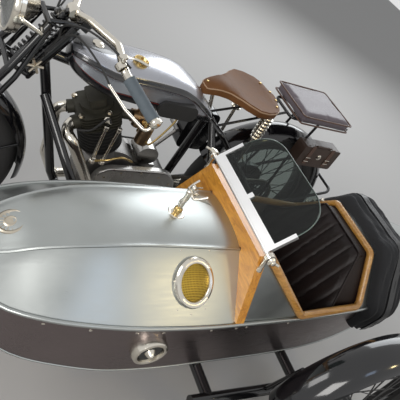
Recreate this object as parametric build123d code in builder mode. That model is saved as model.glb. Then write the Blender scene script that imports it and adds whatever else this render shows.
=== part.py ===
from build123d import *
from math import atan2, cos, radians, sin, tan
import os

# Sidecar motorcycle: a 1930s style single-cylinder outfit, its boat-shaped sidecar on the left.
# +X is forward, +Y is to the left, +Z is up. The ground is z = 0, and all sizes are in millimetres.
# The origin is on the ground at the middle of the outfit's plan.

# Places of the main planes
rear_x = -580.0  # rear axle
bike_y = -324.0  # centre plane of the motorcycle
wheelbase = 1350.0
car_offset = 560.0  # sidecar body's centre plane from the motorcycle's
track = 1005.0  # sidecar wheel's plane from the motorcycle's
wheel_lead = 100.0  # sidecar axle ahead of the rear axle
front_x = rear_x + wheelbase
car_y = bike_y + car_offset
side_y = bike_y + track
side_x = rear_x + wheel_lead

# Wheels and tyres
wheel_radius = 330.0
tyre_width = 88.0
tyre_height = 84.0
rim_width = 62.0
rim_depth = 16.0
rim_wall = 4.0
hub_radius = 28.0
hub_length = 82.0
flange_radius = 42.0
flange_width = 6.0
axle_radius = 9.0
axle_fit = 0.05
spoke_across = 5.0
spokes_per_wheel = 36
brake_radius = 92.0
brake_width = 26.0

# Mudguards
guard_gap = 24.0  # between tread and guard
guard_width = 122.0
guard_sheet = 3.0
guard_drop = 34.0  # depth of the guard's curved sides

# Steering
rake = 27.0
trail = 80.0
head_low = 722.0
head_high = 862.0
head_radius = 24.0
stem_radius = 14.0

# Frame tubes
main_tube = 32.0
stay_tube = 22.0
car_tube = 36.0
small_tube = 14.0

# Engine
crank_x = 700.0
crank_z = 352.0
case_radius = 112.0
case_width = 96.0
slope = 25.7  # the cylinder leans forward
barrel_start = 96.0
barrel_length = 116.0
barrel_radius = 44.0
fin_radius = 76.0
fin_count = 8
fin_thickness = 3.0
head_length = 76.0
head_fin_count = 6

# Sidecar body: stations from the tail to the nose
chine_z = 545.0
skin = 8.0
bead = 6.0
deck_camber = 14.0
# x from the rear axle, the deck's half width and height, the chine's half width, the bottom's half and height
body_stations = [
    (-520.0, 26.0, 600.0, 58.0, 44.0, 420.0),
    (-300.0, 74.0, 652.0, 150.0, 128.0, 338.0),
    (60.0, 107.0, 690.0, 228.0, 204.0, 300.0),
    (603.0, 108.0, 690.0, 256.0, 232.0, 300.0),
    (870.0, 102.0, 685.0, 251.0, 226.0, 300.0),
    (1020.0, 98.0, 671.0, 233.0, 200.0, 308.0),
    (1140.0, 85.0, 643.0, 205.0, 165.0, 325.0),
    (1225.0, 68.0, 604.0, 165.0, 118.0, 362.0),
    (1330.0, 20.0, 562.0, 62.0, 42.0, 440.0),
]
cockpit_front = 575.0
cockpit_low_front = 350.0
cockpit_rear = 60.0
hoop_half = 177.0
hoop_top = 743.0
hoop_thick = 28.0
coaming_radius = 12.0
soft_gap = 0.3  # between a piece and what it rests on


def bike(x, y, z):
    """A point measured from under the rear axle, on the motorcycle's centre plane."""
    return Vector(rear_x + x, bike_y + y, z)


def car(x, y, z):
    """A point measured from the rear axle's station, on the sidecar body's centre plane."""
    return Vector(rear_x + x, car_y + y, z)


def tube(points, diameter, bend=40.0, ring=False):
    """A round tube along straight runs joined by arcs, or a closed ring of them."""
    with BuildPart() as made:
        with BuildLine() as route:
            if len(points) == 2:
                Line(*points)
            else:
                FilletPolyline(*points, radius=bend, close=ring)
        with BuildSketch(Plane(origin=route.line @ 0, z_dir=route.line % 0)):
            Circle(diameter / 2)
        sweep(path=route.line)
    return made.part


def both_sides(points, offset):
    """The same route on both sides of the motorcycle."""
    return [[bike(x, side * (y + offset), z) for x, y, z in points] for side in (1, -1)]


def disc(centre, axis, radius, length):
    """A round bar centred on a point."""
    return Plane(origin=centre, z_dir=axis) * Cylinder(radius, length, mode=Mode.PRIVATE)


# Wheels: rim, spokes and hub in one piece, the tyre apart
def wheel_part():
    """Rim, laced spokes and hub round an axle along Y, over the origin."""
    centre = Vector(0, 0, wheel_radius)
    axle = Plane(origin=centre, x_dir=(1, 0, 0), z_dir=(0, 1, 0))
    rim_outer = wheel_radius - tyre_height + rim_depth
    rim_inner = rim_outer - rim_depth
    with BuildPart() as made:
        with BuildSketch(Plane(origin=centre)):
            with BuildLine():
                Polyline(
                    (rim_outer, -rim_width / 2),
                    (rim_outer, -rim_width / 2 + rim_wall),
                    (rim_inner + rim_wall, -rim_width / 4),
                    (rim_inner + rim_wall, rim_width / 4),
                    (rim_outer, rim_width / 2 - rim_wall),
                    (rim_outer, rim_width / 2),
                    (rim_inner + rim_wall, rim_width / 2),
                    (rim_inner, rim_width / 4),
                    (rim_inner, -rim_width / 4),
                    (rim_inner + rim_wall, -rim_width / 2),
                    close=True,
                )
            make_face()
        revolve(axis=Axis(centre, (0, 1, 0)))
        with BuildSketch(axle.offset(-hub_length / 2)):
            Circle(hub_radius)
        extrude(amount=hub_length)
        for side in (1, -1):
            with BuildSketch(axle.offset(side * (hub_length / 2 - flange_width / 2) - flange_width / 2)):
                Circle(flange_radius)
            extrude(amount=flange_width)
        add(wheel_spokes(centre, rim_inner + rim_wall / 2))
        with BuildSketch(axle.offset(-hub_length)):
            Circle(axle_radius + axle_fit)
        extrude(amount=2 * hub_length, mode=Mode.SUBTRACT)
    return made.part


def wheel_spokes(centre, reach):
    """Wires that leave the hub's flanges on a tangent and meet the rim's middle."""
    wires = []
    half = spokes_per_wheel // 2
    hole = flange_radius - 5.0
    for side in (1, -1):
        for k in range(half):
            turn = 360.0 * k / half + (0 if side > 0 else 180.0 / half)
            lead = 62.0 if k % 2 else -62.0
            start = Vector(hole * cos(radians(turn)), side * (hub_length / 2 - flange_width / 2),
                           hole * sin(radians(turn)))
            end = Vector(reach * cos(radians(turn + lead * 0.62)), side * 4.0,
                         reach * sin(radians(turn + lead * 0.62)))
            run = end - start
            with BuildPart() as wire:
                with BuildSketch(Plane(origin=centre + start, z_dir=run)):
                    RegularPolygon(spoke_across / 2, 4)
                extrude(amount=run.length)
            wires.append(wire.part)
    return wires


def tyre_part():
    """A tyre of round section seated on the rim, over the origin."""
    with BuildPart() as made:
        with BuildSketch(Plane(origin=(0, 0, wheel_radius))):
            with Locations((wheel_radius - tyre_height / 2, 0)):
                Ellipse(tyre_height / 2, tyre_width / 2)
            with BuildLine():
                rim_outer = wheel_radius - tyre_height + rim_depth
                Polyline(
                    (rim_outer - 60, -tyre_width),
                    (rim_outer, -tyre_width),
                    (rim_outer, -rim_width / 2 + rim_wall + 0.2),
                    (rim_outer - rim_depth + rim_wall + 0.2, -rim_width / 4 + 0.2),
                    (rim_outer - rim_depth + rim_wall + 0.2, rim_width / 4 - 0.2),
                    (rim_outer, rim_width / 2 - rim_wall - 0.2),
                    (rim_outer, tyre_width),
                    (rim_outer - 60, tyre_width),
                    close=True,
                )
            make_face(mode=Mode.SUBTRACT)
        revolve(axis=Axis((0, 0, wheel_radius), (0, 1, 0)))
    return made.part


def guard_part(x, y, first, last):
    """A mudguard of arched section from one angle to another, measured from forward over the top."""
    inside = wheel_radius + guard_gap
    half = guard_width / 2
    start = Plane(
        origin=(x, y, wheel_radius),
        x_dir=(cos(radians(first)), 0, sin(radians(first))),
        z_dir=(-sin(radians(first)), 0, cos(radians(first))),
    )
    with BuildPart() as made:
        with BuildSketch(start) as section:
            with BuildLine():
                outer = ThreePointArc(
                    (inside - guard_drop, -half), (inside + guard_sheet, 0), (inside - guard_drop, half)
                )
                Line(outer @ 1, (inside - guard_drop, half - guard_sheet))
                edge = half - guard_sheet
                inner = ThreePointArc((inside - guard_drop, edge), (inside, 0), (inside - guard_drop, -edge))
                Line(inner @ 1, outer @ 0)
            make_face()
        revolve(axis=Axis((x, y, wheel_radius), (0, -1, 0)), revolution_arc=last - first)
    return made.part


def steer(z, ahead=0.0, y=0.0):
    """A point on the steering axis at a height, or some way ahead of it, square to the axis."""
    lean = radians(rake)
    return Vector(
        front_x + trail - z * tan(lean) + ahead * cos(lean), bike_y + y, z + ahead * sin(lean)
    )


steer_up = Vector(-sin(radians(rake)), 0, cos(radians(rake)))
lean_up = Vector(sin(radians(slope)), 0, cos(radians(slope)))
pieces = {}


def keep(name, part):
    """Name a finished piece."""
    part.label = name
    pieces[name] = part


# Wheels
plain_wheel = wheel_part()
dropout_y = 104.0
sprocket_y = 50.0
sprocket_thick = 5.0
sprocket_radius = 84.0
sprocket_teeth = 42
chain_gap = 2.0
chain_depth = 11.0
chain_width = 9.0

with BuildPart() as front_wheel:
    add(Pos(front_x, bike_y, 0) * plain_wheel)
    with BuildSketch(Plane(origin=(front_x, bike_y + hub_length / 2, wheel_radius), z_dir=(0, 1, 0))):
        Circle(brake_radius)
        Circle(axle_radius + axle_fit, mode=Mode.SUBTRACT)
    extrude(amount=brake_width)
keep("front_wheel", front_wheel.part)

with BuildPart() as rear_wheel:
    add(Pos(rear_x, bike_y, 0) * plain_wheel)
    with BuildSketch(Plane(origin=(rear_x, bike_y - hub_length / 2, wheel_radius), z_dir=(0, -1, 0))):
        Circle(brake_radius)
        Circle(axle_radius + axle_fit, mode=Mode.SUBTRACT)
    extrude(amount=brake_width)
    with BuildSketch(Plane(origin=(rear_x, bike_y + hub_length / 2, wheel_radius), z_dir=(0, 1, 0))):
        Circle(hub_radius)
        Circle(axle_radius + axle_fit, mode=Mode.SUBTRACT)
    extrude(amount=sprocket_y - hub_length / 2 + sprocket_thick)
    with BuildSketch(Plane(origin=(rear_x, bike_y + sprocket_y, wheel_radius), z_dir=(0, 1, 0))):
        Circle(sprocket_radius)
        Circle(hub_radius - 2, mode=Mode.SUBTRACT)
        with PolarLocations((hub_radius + sprocket_radius) / 2, 5):
            Circle(17, mode=Mode.SUBTRACT)
        with PolarLocations(sprocket_radius, sprocket_teeth):
            Circle(3.6, mode=Mode.SUBTRACT)
    extrude(amount=sprocket_thick)
keep("rear_wheel", rear_wheel.part)

side_wheel = Pos(side_x, side_y, 0) * plain_wheel
keep("side_wheel", side_wheel)

plain_tyre = tyre_part()
keep("front_tyre", Pos(front_x, bike_y, 0) * plain_tyre)
keep("rear_tyre", Pos(rear_x, bike_y, 0) * plain_tyre)
keep("side_tyre", Pos(side_x, side_y, 0) * plain_tyre)

# Rear chain: a closed loop round both sprockets
gearbox_x = 515.0
gearbox_z = 335.0
small_sprocket = 34.0
chain_y = bike_y + sprocket_y + sprocket_thick / 2 - chain_width / 2
with BuildPart() as rear_chain:
    with BuildSketch(Plane(origin=(0, chain_y, 0), x_dir=(-1, 0, 0), z_dir=(0, 1, 0))):
        for inset, mode in ((chain_gap + chain_depth, Mode.ADD), (chain_gap, Mode.SUBTRACT)):
            with BuildSketch(mode=Mode.PRIVATE) as loop:
                with Locations((-rear_x, wheel_radius)):
                    Circle(sprocket_radius + inset)
                with Locations((-rear_x - gearbox_x, gearbox_z)):
                    Circle(small_sprocket + inset)
                make_hull()
            add(loop.sketch, mode=mode)
    extrude(amount=chain_width)
keep("rear_chain", rear_chain.part)

# Mudguards
keep("rear_guard", guard_part(rear_x, bike_y, 24, 196))
keep("front_guard", guard_part(front_x, bike_y, 12, 186))
keep("side_guard", guard_part(side_x, side_y, 8, 172))

# Motorcycle frame: a single loop of large tube, forked stays, head lug and rear axle
seat_lug_x = 400.0
seat_lug_z = 655.0
bottom_tube_z = 223.0
bottom_lug_x = 438.0
stay_y = 76.0
head_centre = steer((head_low + head_high) / 2)
head_length_tube = (head_high - head_low) / cos(radians(rake))
head_front = steer(head_low + 30)
top_front = steer(head_low + 43)
loop_route = [
    head_front,
    bike(884, 0, 300),
    bike(836, 0, bottom_tube_z),
    bike(bottom_lug_x, 0, bottom_tube_z),
    bike(seat_lug_x, 0, seat_lug_z + 12),
]
loop_tube = tube(loop_route, main_tube, 38.0)
top_tube = tube([top_front, bike(seat_lug_x, 0, seat_lug_z)], main_tube)
stay_tubes = []
for route in both_sides([(0, dropout_y, wheel_radius), (330, stay_y, 268), (bottom_lug_x, 58, 236)], 0):
    stay_tubes.append(tube(route, stay_tube, 60.0))
for route in both_sides([(0, dropout_y, wheel_radius), (352, stay_y, 634), (seat_lug_x, 12, seat_lug_z)], 0):
    stay_tubes.append(tube(route, stay_tube, 30.0))
with BuildPart() as frame:
    add(loop_tube)
    add(top_tube)
    for piece in stay_tubes:
        add(piece)
    add(disc(bike(bottom_lug_x, 0, 236), (0, 1, 0), 17, 140))
    add(disc(head_centre, steer_up, head_radius, head_length_tube))
    for side in (1, -1):
        with BuildSketch(Plane(origin=bike(0, side * (dropout_y - 6), wheel_radius), z_dir=(0, side, 0))):
            Circle(24)
        extrude(amount=12)
    add(disc(bike(0, 0, wheel_radius), (0, 1, 0), axle_radius, 2 * dropout_y + 44))
    with BuildSketch(Plane(origin=steer(head_low - 20), z_dir=steer_up)):
        Circle(stem_radius + 0.05)
    extrude(amount=head_length_tube + 60, mode=Mode.SUBTRACT)
keep("frame", frame.part)

# Girder fork: blades, links, clips and the stem in the head
fork_y = 84.0
fork_tube = 24.0
link_low_z = 690.0
link_high_z = 838.0
blade_ahead = 88.0
clip_thick = 26.0
blade_tubes = []
for side in (1, -1):
    axle_end = bike(wheelbase, side * fork_y, wheel_radius)
    knee = steer(link_low_z, blade_ahead, side * (fork_y - 6))
    top = steer(link_high_z, blade_ahead, side * 52)
    blade_tubes.append(tube([axle_end, knee, top], fork_tube, 90.0))
    bow = bike(wheelbase - 152, side * fork_y, 560)
    rear_low = steer(link_low_z - 8, blade_ahead - 34, side * (fork_y - 6))
    rear_top = steer(link_high_z - 12, blade_ahead - 12, side * 54)
    blade_tubes.append(tube([axle_end, bow, rear_low, rear_top], fork_tube - 8, 60.0))
fork_links = []
for z, ahead_z, half in ((head_low - 30, link_low_z, 44), (head_high + 22, link_high_z, 34)):
    for side in (1, -1):
        fork_links.append(tube([steer(z, 12, side * half), steer(ahead_z, blade_ahead, side * half)], 13.0))
guard_seat = wheel_radius + guard_gap + guard_sheet + 7
blade_eye = steer(link_low_z, blade_ahead)
blade_lean = atan2(blade_eye.Z - wheel_radius, blade_eye.X - front_x)
blade_rise = Vector(cos(blade_lean), 0, sin(blade_lean))
guard_bridge = Vector(front_x, bike_y, wheel_radius) + blade_rise * guard_seat
guard_edge = wheel_radius + guard_gap - guard_drop + 3
guard_stays = []
for side in (1, -1):
    for angle in (46, 158):
        reach = radians(angle)
        hold = Vector(guard_edge * cos(reach), side * (guard_width / 2 + 2), guard_edge * sin(reach))
        start = bike(wheelbase, side * (fork_y + 10), wheel_radius)
        guard_stays.append(tube([start, Vector(front_x, bike_y, wheel_radius) + hold], 8.0))
spring_ahead = blade_ahead - 34
spring_low = steer(link_low_z + 14, spring_ahead)
spring_high = steer(head_high + 4, spring_ahead)
spring_arms = [
    tube([steer(link_low_z + 2, spring_ahead), steer(link_low_z + 2, blade_ahead)], 14.0),
    tube([steer(head_high + 20, 12), steer(head_high + 20, spring_ahead)], 14.0),
]
stem_low = steer(head_low - 40)
stem_high = steer(head_high + 42)
with BuildPart() as fork:
    for piece in blade_tubes:
        add(piece)
    add(disc(bike(wheelbase, 0, wheel_radius), (0, 1, 0), axle_radius, 2 * fork_y + 36))
    for side in (1, -1):
        add(disc(bike(wheelbase, side * fork_y, wheel_radius), (0, 1, 0), 17, 14))
    for z, half in ((link_low_z, fork_y - 4), (link_high_z, 56)):
        add(disc(steer(z, blade_ahead), (0, 1, 0), 8, 2 * half))
    with BuildSketch(Plane(origin=stem_low, z_dir=steer_up)):
        Circle(stem_radius)
    extrude(amount=(stem_high - stem_low).length)
    with BuildSketch(Plane(origin=steer(head_low - 40), x_dir=(0, 1, 0), z_dir=steer_up)):
        RectangleRounded(56, 36, 17.5)
    extrude(amount=clip_thick)
    with BuildSketch(Plane(origin=steer(head_high + 14), x_dir=(0, 1, 0), z_dir=steer_up)):
        RectangleRounded(72, 46, 10)
    extrude(amount=clip_thick)
    for piece in fork_links + guard_stays + spring_arms:
        add(piece)
    add(disc(guard_bridge, (0, 1, 0), 7, 2 * fork_y - 8))
    add(disc(spring_low - steer_up * 5, steer_up, 20, 10))
    add(disc(spring_high + steer_up * 5, steer_up, 20, 10))
    for z, half in ((head_low - 30, 44), (head_high + 22, 34)):
        add(disc(steer(z, 12), (0, 1, 0), 7, 2 * half + 16))
    add(pieces["front_guard"], mode=Mode.SUBTRACT)
keep("fork", fork.part)

# Fork spring: a barrel coil between the lower yoke and the upper clip
spring_radius = 23.0
spring_wire = 7.0
spring_turns = 8
with BuildPart() as fork_spring:
    span = (spring_high - spring_low).length
    pitch = span / spring_turns
    with BuildSketch(Plane(origin=spring_low, z_dir=steer_up)):
        Circle(spring_radius - spring_wire + 1)
    extrude(amount=span)
    for k in range(spring_turns):
        lift = steer_up * (pitch * (k + 0.5) - spring_wire / 2)
        with BuildSketch(Plane(origin=spring_low + lift, z_dir=steer_up)):
            Circle(spring_radius)
        extrude(amount=spring_wire)
keep("fork_spring", fork_spring.part)

# Handlebar with its clamp, and the two grips
bar_tube = 24.0
grip_radius = 17.0
# Each point as its distance behind the front axle, its side and its height
bar_route = [(342, 0, 905), (365, 70, 926), (412, 190, 938), (412, 285, 919), (482, 396, 868)]
bar_points = [Vector(front_x - x, bike_y - y, z) for x, y, z in reversed(bar_route[1:])]
bar_points += [Vector(front_x - x, bike_y + y, z) for x, y, z in bar_route]
bar_line = tube(bar_points, bar_tube, 45.0)
lever_route = [(466, 411, 838), (432, 330, 838), (410, 236, 842)]
grip_length = 122.0
bar_ends = []
levers = []
for side in (1, -1):
    bar_bend, bar_end = [Vector(front_x - x, bike_y + side * y, z) for x, y, z in bar_route[-2:]]
    out = (bar_end - bar_bend).normalized()
    bar_ends.append((bar_end, out))
    lever = [bar_end + out * 14]
    lever += [Vector(front_x - x, bike_y + side * y, z) for x, y, z in lever_route]
    levers.append(tube(lever, 9.0, 14.0))
with BuildPart() as handlebar:
    add(bar_line)
    for bar_end, out in bar_ends:
        add(disc(bar_end + out * 9, out, 13, 18))
    for piece in levers:
        add(piece)
    add(disc(bar_points[len(bar_route) - 1], (0, 1, 0), 19, 44))
    add(fork.part, mode=Mode.SUBTRACT)
keep("handlebar", handlebar.part)
with BuildPart() as grips:
    for bar_end, out in bar_ends:
        with BuildSketch(Plane(origin=bar_end - out * grip_length, z_dir=out)):
            Circle(grip_radius)
            Circle(bar_tube / 2, mode=Mode.SUBTRACT)
        extrude(amount=grip_length)
keep("grips", grips.part)

# Fuel tank: saddle tank that sits astride the top tube
tank_clear = 6.0
# x from the rear axle, half width, bottom, top of the side, crown
tank_stations = [
    (392.0, 22.0, 640.0, 656.0, 672.0),
    (500.0, 68.0, 662.0, 728.0, 768.0),
    (610.0, 90.0, 676.0, 776.0, 818.0),
    (845.0, 90.0, 696.0, 777.0, 822.0),
    (950.0, 62.0, 733.0, 798.0, 832.0),
    (984.0, 30.0, 758.0, 796.0, 816.0),
]
with BuildPart() as fuel_tank:
    for x, half, low, ridge, crown in tank_stations:
        with BuildSketch(Plane(origin=(rear_x + x, bike_y, 0), x_dir=(0, 1, 0), z_dir=(1, 0, 0))):
            with BuildLine():
                Polyline((-half, ridge), (-half * 0.86, low), (half * 0.86, low), (half, ridge))
                ThreePointArc((half, ridge), (0, crown), (-half, ridge))
            make_face()
    loft()
    tunnel = main_tube / 2 + tank_clear
    with BuildSketch(Plane(origin=(0, bike_y, 0), x_dir=(1, 0, 0), z_dir=(0, -1, 0))):
        top_start = top_front
        top_end = bike(seat_lug_x, 0, seat_lug_z)
        with BuildLine():
            Polyline(
                (top_end.X - 60, top_end.Z - 200),
                (top_end.X - 60, top_end.Z + tunnel - 10),
                (top_start.X + 10, top_start.Z + tunnel),
                (top_start.X + 60, top_start.Z - 200),
                close=True,
            )
        make_face()
    extrude(amount=tunnel, both=True, mode=Mode.SUBTRACT)
    with BuildSketch(Plane(origin=bike(712, 46, 800), z_dir=(0, 0.3, 1))):
        Circle(24)
    extrude(amount=34)
    add(frame.part, mode=Mode.SUBTRACT)
keep("fuel_tank", fuel_tank.part)

# Knee grips: rubber pads on the tank's sides
with BuildPart() as knee_grips:
    for side in (1, -1):
        with BuildSketch(Plane(origin=bike(596, side * 60, 712), x_dir=(1, 0, 0), z_dir=(0, side, 0))):
            RectangleRounded(150, 58, 24)
        extrude(amount=44)
    add(fuel_tank.part, mode=Mode.SUBTRACT)
keep("knee_grips", knee_grips.part)

# Crankcase with the cylinder's neck, standing on the loop tube
crank = bike(crank_x, 0, crank_z)
with BuildPart() as crankcase:
    add(disc(crank, (0, 1, 0), case_radius, case_width))
    with BuildSketch(Plane(origin=crank + lean_up * 70, z_dir=lean_up)):
        Circle(barrel_radius + 16)
    extrude(amount=barrel_start + 24 - 70)
    with BuildSketch(Plane(origin=crank - Vector(0, case_width / 2, 0), x_dir=(1, 0, 0), z_dir=(0, -1, 0))):
        Circle(66)
        with Locations((-70, 40)):
            Circle(44)
        make_hull()
    extrude(amount=34)
    add(Pos(bike(crank_x, 0, crank_z - case_radius)) * Box(120, 44, 28, mode=Mode.PRIVATE))
    add(loop_tube, mode=Mode.SUBTRACT)
keep("crankcase", crankcase.part)

# Cylinder barrel and head, finned, leaning forward
barrel_foot = crank + lean_up * (barrel_start + 24)
head_foot = barrel_foot + lean_up * barrel_length
with BuildPart() as barrel:
    with BuildSketch(Plane(origin=barrel_foot, z_dir=lean_up)):
        Circle(barrel_radius)
    extrude(amount=barrel_length)
    for k in range(fin_count):
        lift = lean_up * (12 + k * (barrel_length - 16) / (fin_count - 1))
        with BuildSketch(Plane(origin=barrel_foot + lift - lean_up * fin_thickness, z_dir=lean_up)):
            Circle(fin_radius)
        extrude(amount=fin_thickness)
keep("cylinder", barrel.part)

forward = Vector(cos(radians(slope)), 0, -sin(radians(slope)))
port_y = 42.0
port_level = head_foot + lean_up * 34
carb = bike(700, 12, 606)
ports = [tube([port_level, carb], 36.0)]
for side in (1, -1):
    port_end = port_level + forward * 92 + Vector(0, side * port_y, 0)
    ports.append(tube([port_level + Vector(0, side * 28, 0), port_end], 46.0))
with BuildPart() as cylinder_head:
    with BuildSketch(Plane(origin=head_foot, z_dir=lean_up)):
        Circle(barrel_radius + 12)
    extrude(amount=head_length)
    for k in range(head_fin_count):
        lift = lean_up * (2 + k * (head_length - 20) / (head_fin_count - 1))
        with BuildSketch(Plane(origin=head_foot + lift, x_dir=(0, 1, 0), z_dir=lean_up)):
            RectangleRounded(2 * fin_radius, 2 * fin_radius - 10, 30)
        extrude(amount=fin_thickness)
    with BuildSketch(Plane(origin=head_foot + lean_up * head_length, x_dir=(0, 1, 0), z_dir=lean_up)):
        RectangleRounded(86, 60, 12)
    extrude(amount=26)
    for piece in ports:
        add(piece)
    add(barrel.part, mode=Mode.SUBTRACT)
keep("cylinder_head", cylinder_head.part)

# Primary chaincase on the left, over the crank sprocket and the clutch
primary_y = 62.0
primary_width = 26.0
with BuildPart() as primary_case:
    with BuildSketch(Plane(origin=(0, bike_y + primary_y, 0), x_dir=(-1, 0, 0), z_dir=(0, 1, 0))):
        with Locations((-rear_x - crank_x, crank_z)):
            Circle(64)
        with Locations((-rear_x - gearbox_x, gearbox_z)):
            Circle(92)
        make_hull()
    extrude(amount=primary_width)
    fillet(primary_case.faces().sort_by(Axis.Y)[-1].edges(), 8)
    neck = primary_y - case_width / 2
    add(disc(bike(crank_x, case_width / 2 + neck / 2, crank_z), (0, 1, 0), 40, neck))
keep("primary_case", primary_case.part)

# Gearbox behind the crankcase, with the kick starter on the right
gearbox_side = 43.0
kick_foot = bike(gearbox_x - 120, -122, gearbox_z + 150)
kick_lever = tube([bike(gearbox_x - 20, -116, gearbox_z - 10), kick_foot], 14.0)
with BuildPart() as gearbox:
    with BuildSketch(Plane(origin=(0, bike_y - 62, 0), x_dir=(1, 0, 0), z_dir=(0, -1, 0))):
        with Locations((rear_x + gearbox_x + 2, gearbox_z)):
            RectangleRounded(112, 132, 30)
    extrude(amount=-(62 + gearbox_side))
    sleeve = primary_y - gearbox_side
    add(disc(bike(gearbox_x, gearbox_side + sleeve / 2, gearbox_z), (0, 1, 0), 22, sleeve))
    sprocket = bike(gearbox_x, sprocket_y + sprocket_thick / 2, gearbox_z)
    add(disc(sprocket, (0, 1, 0), small_sprocket + chain_gap, sprocket_thick))
    add(disc(bike(gearbox_x - 20, -92, gearbox_z - 10), (0, 1, 0), 12, 60))
    add(kick_lever)
    add(disc(bike(gearbox_x - 120, -150, gearbox_z + 150), (0, 1, 0), 9, 70))
    add(loop_tube, mode=Mode.SUBTRACT)
keep("gearbox", gearbox.part)

# Carburettor on the intake stub, its float chamber to the left
carb_face = carb - Vector(3, 0, 0)
with BuildPart() as carburettor:
    add(disc(carb_face - Vector(30, 0, 0), (1, 0, 0), 23, 60))
    add(disc(carb_face + Vector(-31, 2, 6), (0, 0, 1), 17, 88))
    add(disc(carb_face + Vector(-43, 22, -26), (0, 1, 0), 8, 44))
    add(disc(carb_face + Vector(-52, 46, -38), (0, 0, 1), 24, 70))
    with BuildSketch(Plane(origin=carb_face - Vector(60, 0, 0), z_dir=(-1, 0, 0))):
        Circle(25)
    with BuildSketch(Plane(origin=carb_face - Vector(74, 0, 0), z_dir=(-1, 0, 0))):
        Circle(29)
    loft()
keep("carburettor", carburettor.part)

# Magneto on the platform behind the cylinder
with BuildPart() as magneto:
    with BuildSketch(Plane(origin=bike(566, -8, gearbox_z + 66), x_dir=(1, 0, 0), z_dir=(0, 0, 1))):
        Rectangle(92, 74)
    extrude(amount=12)
    with BuildSketch(Plane(origin=bike(566, 32, gearbox_z + 116), x_dir=(1, 0, 0), z_dir=(0, -1, 0))):
        SlotOverall(84, 76)
    extrude(amount=84)
    add(disc(bike(566, -62, gearbox_z + 112), (0, 1, 0), 22, 24))
    add(crankcase.part, mode=Mode.SUBTRACT)
keep("magneto", magneto.part)

# Exhaust: a pipe from each port, each to a silencer at the side
pipe = 38.0
port_near = port_level + forward * 92 + Vector(0, port_y, 0)
port_far = port_level + forward * 92 - Vector(0, port_y, 0)
silencer_radius = 34.0
exhaust_y = 122.0
exhaust_z = 200.0
silencer_front = 470.0
silencer_rear = 40.0
near_route = [
    port_near,
    port_near + forward * 34 + Vector(0, 18, 0),
    bike(905, 102, 530),
    bike(790, 106, 356),
    bike(700, exhaust_y, exhaust_z + 16),
    bike(silencer_front, exhaust_y, exhaust_z),
]
far_route = [
    port_far,
    port_far + forward * 34 + Vector(0, -14, 0),
    bike(915, -60, 470),
    bike(900, -66, 330),
    bike(830, -96, exhaust_z + 4),
    bike(700, -exhaust_y, exhaust_z),
    bike(silencer_front, -exhaust_y, exhaust_z),
]
near_pipe = tube(near_route, pipe, 40.0)
far_pipe = tube(far_route, pipe, 40.0)
with BuildPart() as exhausts:
    add(near_pipe)
    add(far_pipe)
    for side in (1, -1):
        with BuildSketch(Plane(origin=bike(silencer_front, side * exhaust_y, exhaust_z), z_dir=(-1, 0, 0))):
            Circle(silencer_radius)
        extrude(amount=silencer_front - silencer_rear)
        add(disc(bike(silencer_front + 14, side * exhaust_y, exhaust_z), (1, 0, 0), 25, 28))
        add(disc(bike(silencer_rear - 8, side * exhaust_y, exhaust_z), (1, 0, 0), 17, 60))
    add(cylinder_head.part, mode=Mode.SUBTRACT)
keep("exhausts", exhausts.part)

# Oil tank on the right, outside the stays
with BuildPart() as oil_tank:
    with BuildSketch(Plane(origin=bike(318, -97, 512), x_dir=(1, 0, 0), z_dir=(0, -1, 0))):
        RectangleRounded(136, 186, 28)
    extrude(amount=60)
    add(disc(bike(340, -127, 610), (0, 0, 1), 20, 26))
    add(frame.part, mode=Mode.SUBTRACT)
keep("oil_tank", oil_tank.part)

# Saddle: a leather seat with its nose at the tank, on two coil springs
saddle_top = 812.0
saddle_deep = 46.0
with BuildPart() as saddle:
    with BuildSketch(Plane(origin=bike(0, 0, saddle_top - saddle_deep))):
        with BuildLine():
            ThreePointArc((478, -20), (492, 0), (478, 20))
            ThreePointArc((478, 20), (360, 62), (282, 128))
            ThreePointArc((282, 128), (164, 0), (282, -128))
            ThreePointArc((282, -128), (360, -62), (478, -20))
        make_face()
    extrude(amount=saddle_deep)
    fillet(saddle.faces().sort_by(Axis.Z)[-1].edges(), 16)
keep("saddle", saddle.part)

saddle_spring_x = 222.0
saddle_spring_y = 92.0
spring_posts = [tube([bike(436, 0, saddle_top - saddle_deep), bike(seat_lug_x, 0, seat_lug_z + 10)], 16.0)]
for side in (1, -1):
    post = bike(saddle_spring_x, side * saddle_spring_y, saddle_top - saddle_deep - 104)
    spring_posts.append(tube([post, bike(saddle_spring_x, side * 88, 536)], 14.0))
with BuildPart() as saddle_springs:
    for piece in spring_posts:
        add(piece)
    for side in (1, -1):
        foot = bike(saddle_spring_x, side * saddle_spring_y, saddle_top - saddle_deep - 100)
        with BuildSketch(Plane(origin=foot)):
            Circle(15)
        extrude(amount=100)
        for k in range(6):
            with BuildSketch(Plane(origin=foot + Vector(0, 0, 10 + 15 * k))):
                Circle(22)
            extrude(amount=7)
        post = bike(saddle_spring_x, side * saddle_spring_y, saddle_top - saddle_deep - 104)
        with BuildSketch(Plane(origin=post)):
            Circle(20)
        extrude(amount=5)
    add(frame.part, mode=Mode.SUBTRACT)
    add(fuel_tank.part, mode=Mode.SUBTRACT)
    add(saddle.part, mode=Mode.SUBTRACT)
keep("saddle_springs", saddle_springs.part)

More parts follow.
